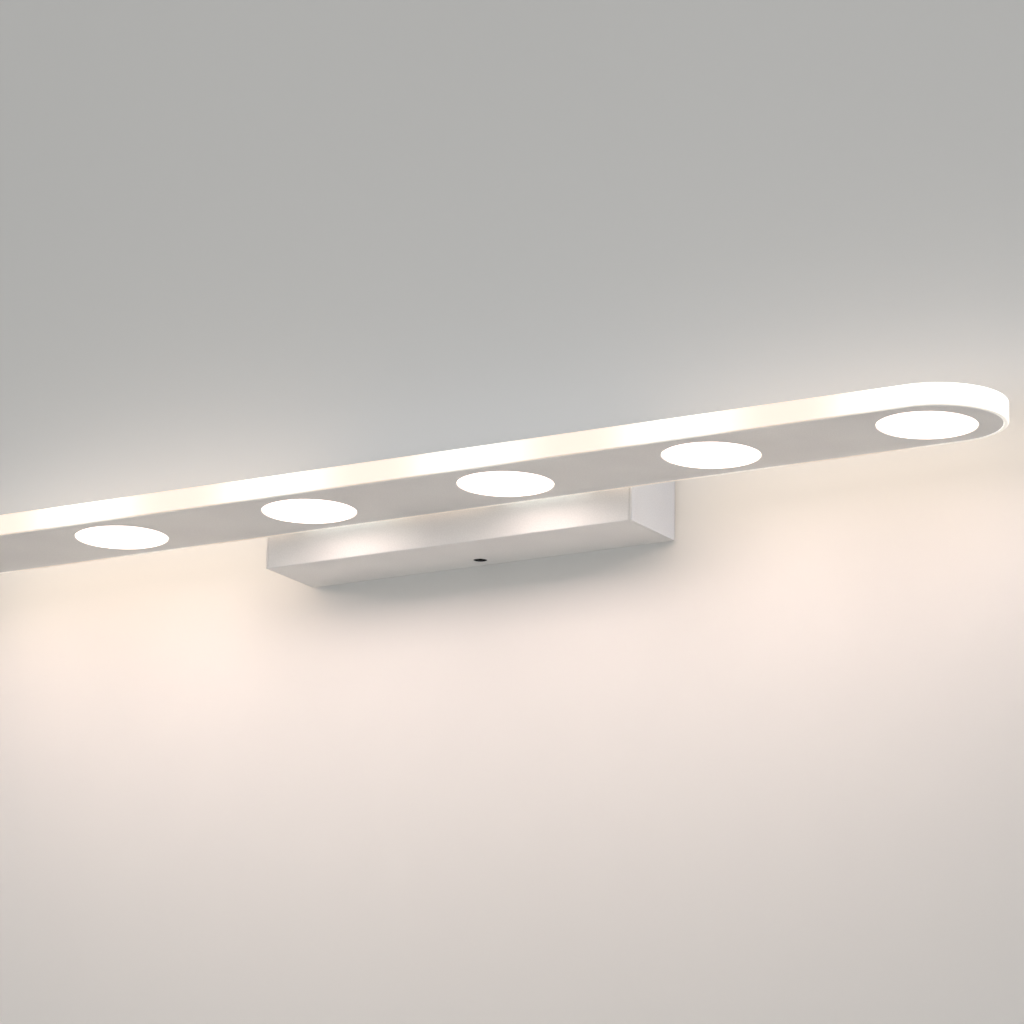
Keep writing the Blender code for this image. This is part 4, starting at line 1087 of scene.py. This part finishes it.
def ring_terminal():
    """The crimped ring on the earth lead: a flat ring under the nut, a neck, and a barrel over the wire."""
    stud = size_of("earth_stud")[2]
    under_nut = size_of("earth_nut")[0][1] - 0.0001
    outline, hole = (lambda d: round_loop(0.0033 - d, 64)), (lambda d: round_loop(0.00185 - d, 64))
    ring = plate(outline, [hole], -0.0007, 0, 0.0001)
    mesh = ring.mesh("ring", turn=FACING_WALL, shift=(stud[0], under_nut, stud[2]))
    barrel = turned(
        [0.00092, 0.00105, 0.00140, 0.00150, 0.00138, 0.00150, 0.00140, 0.00105],
        [0.0002, 0, 0, 0.0003, 0.0025, 0.0047, 0.0050, 0.0050],
        sleeve=True,
    )
    crimp = barrel.mesh("barrel", STAND_X, (stud[0] - 0.0085, channel_low[1] + SHEET + 0.0031, stud[2]))
    section = np.array([(-0.0005, -0.0012), (0.0006, -0.0012), (0.0006, 0.0012), (-0.0005, 0.0012)])
    neck = extruded(section, 0, 0.0022)
    strap = neck.mesh("neck", shift=(stud[0] - 0.0043, under_nut - 0.0010, stud[2]))
    ring = cut(mesh, [], [strap, crimp])
    finished("earth_ring_terminal", ring, zinc, "luminaire")


def lead(name, knots, diameter, colour):
    """One insulated lead on the smooth curve through its knots."""
    route = through_route(knots)
    mesh = wire_along(route, diameter).mesh(name)
    wrap(mesh, route)
    finished(name + "_insulation", mesh, INSULATION[colour], "luminaire", [name], 50)


def canopy_leads():
    """The leads inside the canopy, each through the places that it has to pass: the LED pair to the bar, the
    mains pair to the terminals, the earth lead from its pole over the block to its stud."""
    inner = channel_low[1] + SHEET
    leads = driver_leads()
    start, left, right = case_high[0] - 0.0012, block_low[0], block_high[0]
    through = bar_high[1] - 0.0075
    bush_x = size_of("cable_bush")[2][0]
    bore, thick = 0.0048, 0.0018
    shift, thin = bore * 0.23, bore * 0.30
    for pole, side in (("positive", 1), ("negative", -1)):
        y, z = leads["led_" + pole]
        bus = size_of("bus_wire_" + pole)[2]
        x = bush_x + side * shift
        drop = bus[2] if side > 0 else bus[2] - 0.0020
        knots = [
            (start, y, z),
            (start + 0.0050, y + 0.0005, z * 0.9),
            (x - (0.0010 if side > 0 else 0), y - 0.0002, z * 0.5),
            (x, inner - 0.0040, 0.0),
            (x, through, 0.0),
            (x, through - 0.0070, drop * 0.5),
            (x, bar_middle[1], drop),
            (x, bus[1] + (0.0020 if side > 0 else 0), drop),
        ]
        lead("led_lead_" + pole, knots, thin, "red" if side > 0 else "black")
    reach, entry = left + 0.0050, block_middle[1]
    for name, height, colour in (("live", POLES[2], "brown"), ("neutral", POLES[1], "blue")):
        y, z = leads[name]
        knots = [
            (start, y, z),
            (start + 0.0060, y, z),
            (left - 0.0080, entry + 0.0030, height),
            (left - 0.0020, entry, height),
            (reach, entry, height),
        ]
        lead(name + "_lead", knots, thick, colour)
    stud, pole, back = size_of("earth_stud")[2], POLES[0], block_high[1]
    knots = [
        (reach, entry, pole),
        (left - 0.0030, entry, pole),
        (left - 0.0065, entry + 0.0040, (pole * 2 + stud[2]) / 3),
        (left - 0.0040, back + 0.0030, (pole + stud[2] * 2) / 3),
        (left + 0.0060, back + 0.0045, stud[2] + 0.0005),
        (right - 0.0020, back + 0.0040, stud[2]),
        (right + 0.0045, entry, stud[2]),
        (stud[0] - 0.0080, inner + 0.0035, stud[2]),
        (stud[0] - 0.0023, inner + 0.0030, stud[2]),
    ]
    lead("earth_lead", knots, thick, "green_yellow")


bracket_sheet()
driver_shell()
driver_cover()
terminal_body()
for screw in range(1, 4):
    slotted_screw(f"terminal_screw_{screw}")
threaded_stud()
ring_terminal()
canopy_leads()

# ---------------------------------------------------------------- CAD nodes that keep their shape

KEPT = {
    **{f"led_module_{i}": white_board for i in range(1, 7)},
    **{f"pillar_{i}": zinc for i in range(1, 6)},
    "bus_wire_positive": INSULATION["red"],
    "bus_wire_negative": INSULATION["black"],
    "mounting_block_left": aluminium,
    "mounting_block_right": aluminium,
    "driver_tape": foam,
    "driver_board": green_board,
}
for name, finish in KEPT.items():
    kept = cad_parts[name]
    kept.data.materials.clear()
    kept.data.materials.append(finish)

# ---------------------------------------------------------------- camera


def aimed_camera(place, target, roll, lens):
    """A camera at `place` that looks at `target`, turned by `roll` degrees about its own axis."""
    made = bpy.data.objects.new("camera", bpy.data.cameras.new("camera"))
    bpy.context.scene.collection.objects.link(made)
    made.data.lens = lens
    made.data.sensor_width = 36.0
    made.data.clip_start, made.data.clip_end = 0.05, 60.0
    look = (Vector(target) - Vector(place)).to_track_quat("-Z", "Y")
    made.location = place
    made.rotation_mode = "QUATERNION"
    made.rotation_quaternion = look @ Matrix.Rotation(math.radians(roll), 4, "Z").to_quaternion()
    bpy.context.scene.camera = made


aimed_camera((1.2393, -2.09354, -0.64570), (0.06215, -0.08444, -0.02028), 0.893, 169.56)

# ---------------------------------------------------------------- wall, floor and light


def painted(name, colour, shade, roughness, grain):
    """Rolled emulsion paint: an even matt colour with the roller's faint stipple."""
    made, tree, shader, place = new_material(name, {"Roughness": roughness, "Specular IOR Level": 0.2})
    mottled(tree, place, 400, [(0.3, shade), (0.7, colour)], {"Color": (shader, "Base Color")}, Detail=1.0)
    textured(tree, shader, place, grain, height=0.00004, strength=0.3)
    return made, tree, shader


def backdrop(name, corners, finish):
    """A flat quadrilateral that isn't part of the light."""
    mesh = bpy.data.meshes.new(name)
    mesh.from_pydata(corners, [], [(0, 1, 2, 3)])
    mesh.materials.append(finish)
    made = bpy.data.objects.new(name, mesh)
    bpy.context.scene.collection.objects.link(made)
    return made


WALL_Y, WALL_HALF, FLOOR_Z, FLOOR_HALF = 0.0014, 2.2, -1.6, 9
wall_paint, wall_tree, wall_shader = painted("wall_emulsion", "#D9D9D7", "#D6D6D4", 0.75, 3.0)
# Seen from behind, the wall is left clear, so the light's own back can be looked at.
facing = node(wall_tree, "ShaderNodeNewGeometry")
clear = node(wall_tree, "ShaderNodeBsdfTransparent")
surface = next(each for each in wall_tree.nodes if each.type == "OUTPUT_MATERIAL")
node(
    wall_tree,
    "ShaderNodeMixShader",
    links={0: (facing, "Backfacing"), 1: (wall_shader, "BSDF"), 2: (clear, "BSDF")},
    to={"Shader": (surface, "Surface")},
)
wall_corners = ((-1, -1), (1, -1), (1, 1), (-1, 1))
wall = backdrop("wall", [(x * WALL_HALF, WALL_Y, z * -FLOOR_Z) for x, z in wall_corners], wall_paint)
wall.visible_shadow = False
floor_paint, _, _ = painted("floor_paint", "#DAD8D4", "#D6D4D0", 0.6, 5.0)
floor = backdrop("floor", [(x * FLOOR_HALF, y * FLOOR_HALF, FLOOR_Z) for x, y in wall_corners], floor_paint)


def area_lamp(name, place, turn, size, power, colour, reaches=None):
    """A rectangular lamp that shines along its own -Z and isn't seen; `reaches` is what it lights, or None
    for everything."""
    data = bpy.data.lights.new(name, "AREA")
    data.shape, data.energy = "RECTANGLE", power
    data.size, data.size_y = size
    data.color = linear(colour)[:3]
    made = bpy.data.objects.new(name, data)
    bpy.context.scene.collection.objects.link(made)
    made.location = place
    made.rotation_mode = "QUATERNION"
    made.rotation_quaternion = turn
    made.visible_camera = False
    if reaches:
        made.light_linking.receiver_collection = reaches


def soft_light(name, place, target, size, power, colour="#FFFFFF", reaches=None):
    """A square softbox that faces `target`."""
    turn = (Vector(target) - Vector(place)).to_track_quat("-Z", "Y")
    area_lamp(name, place, turn, (size, size), power, colour, reaches)


def own_glow(name, place, tilt, size, radiance, colour, reaches):
    """A small lamp tilted from straight down about X, in degrees: its power is pi x radiance x its area."""
    turn = Matrix.Rotation(math.radians(tilt), 3, "X").to_quaternion()
    area_lamp(name, place, turn, size, math.pi * radiance * size[0] * size[1], colour, reaches)


def reached(name, members):
    """A collection of what a lamp may light, for light linking."""
    made = bpy.data.collections.new(name)
    for member in members:
        made.objects.link(member)
    return made


centre = (0.0, -0.06, 0.0)
soft_light("key", (0.6, -2.8, 1.2), centre, 3.0, 25.5)
soft_light("fill", (-2.6, -2.2, 0.0), centre, 3.0, 11)
soft_light("side", (2.6, 0.45, -0.1), centre, 1.6, 23, "#E0E9FF")
soft_light("under", (0.2, -1.4, -1.4), centre, 2.4, 4.5)
soft_light("under_rear", (0.2, 0.9, -1.4), centre, 2.0, 1.5)
soft_light("behind", (-0.8, 2.4, 2.2), centre, 1.8, 85)
# The floor in front of the wall is what a view from behind looks down on.
floor_only = reached("floor_only", [floor])
soft_light("floor_wash", (3.2, -4.6, 2.0), (3.2, -4.6, FLOOR_Z), 6.0, 90, reaches=floor_only)

# The light's own glow on the wall and canopy, beside what its lit lenses give: each lamp reaches only these.
CANOPY_PIECES = ("canopy_shell", "end_cap_left_plate", "end_cap_right_plate")
wall_only = reached("wall_only", [wall])
canopy_only = reached("canopy_only", [bpy.data.objects[name] for name in CANOPY_PIECES])
LENS_LAMP = (0.044, 0.044)
REAR_GLOW = bar_high[1] + 0.0006
canopy_half = cap_high[0]
glow_length = bar_high[0] - canopy_half - 0.008
for name, side, radiance in (("left_glow", -1, 6.9), ("right_glow", 1, 5.6)):
    place = (side * (canopy_half + 0.004 + glow_length / 2), REAR_GLOW, 0.0)
    own_glow(name, place, 90, (glow_length, 0.011), radiance, "#FFDFC2", wall_only)
own_glow("upper_glow", (0, -0.040, 0.023), 180, (bar_length, 0.020), 2.1, "#F6F7FF", wall_only)
own_glow("lower_glow", (0, -0.200, -0.020), 0, (bar_length + 0.04, 0.100), 1.6, "#FFE3D2", wall_only)
own_glow("canopy_front_fill", (0, -1.05, -0.35), 72, (0.6, 0.3), 3.2, "#FDFCFF", canopy_only)
for lens, lens_centre in zip(LENSES, lens_centres):
    below = (lens_centre[0], lens_centre[1], bar_low[2] - 0.0008)
    own_glow(lens + "_light", below, 0, LENS_LAMP, 15.0, "#FFE5DB", wall_only)
    own_glow(lens + "_on_canopy", below, 0, LENS_LAMP, 4.8, "#FFEEE6", canopy_only)

world = bpy.context.scene.world or bpy.data.worlds.new("studio")
bpy.context.scene.world = world
world.use_nodes = True
surround = next(n for n in world.node_tree.nodes if n.type == "BACKGROUND")
surround.inputs["Color"].default_value = linear("#E4E4E4")
surround.inputs["Strength"].default_value = 0.34

bpy.context.scene.view_settings.view_transform = "Standard"
bpy.context.scene.view_settings.look = "None"
bpy.context.scene.view_settings.exposure = 0.0
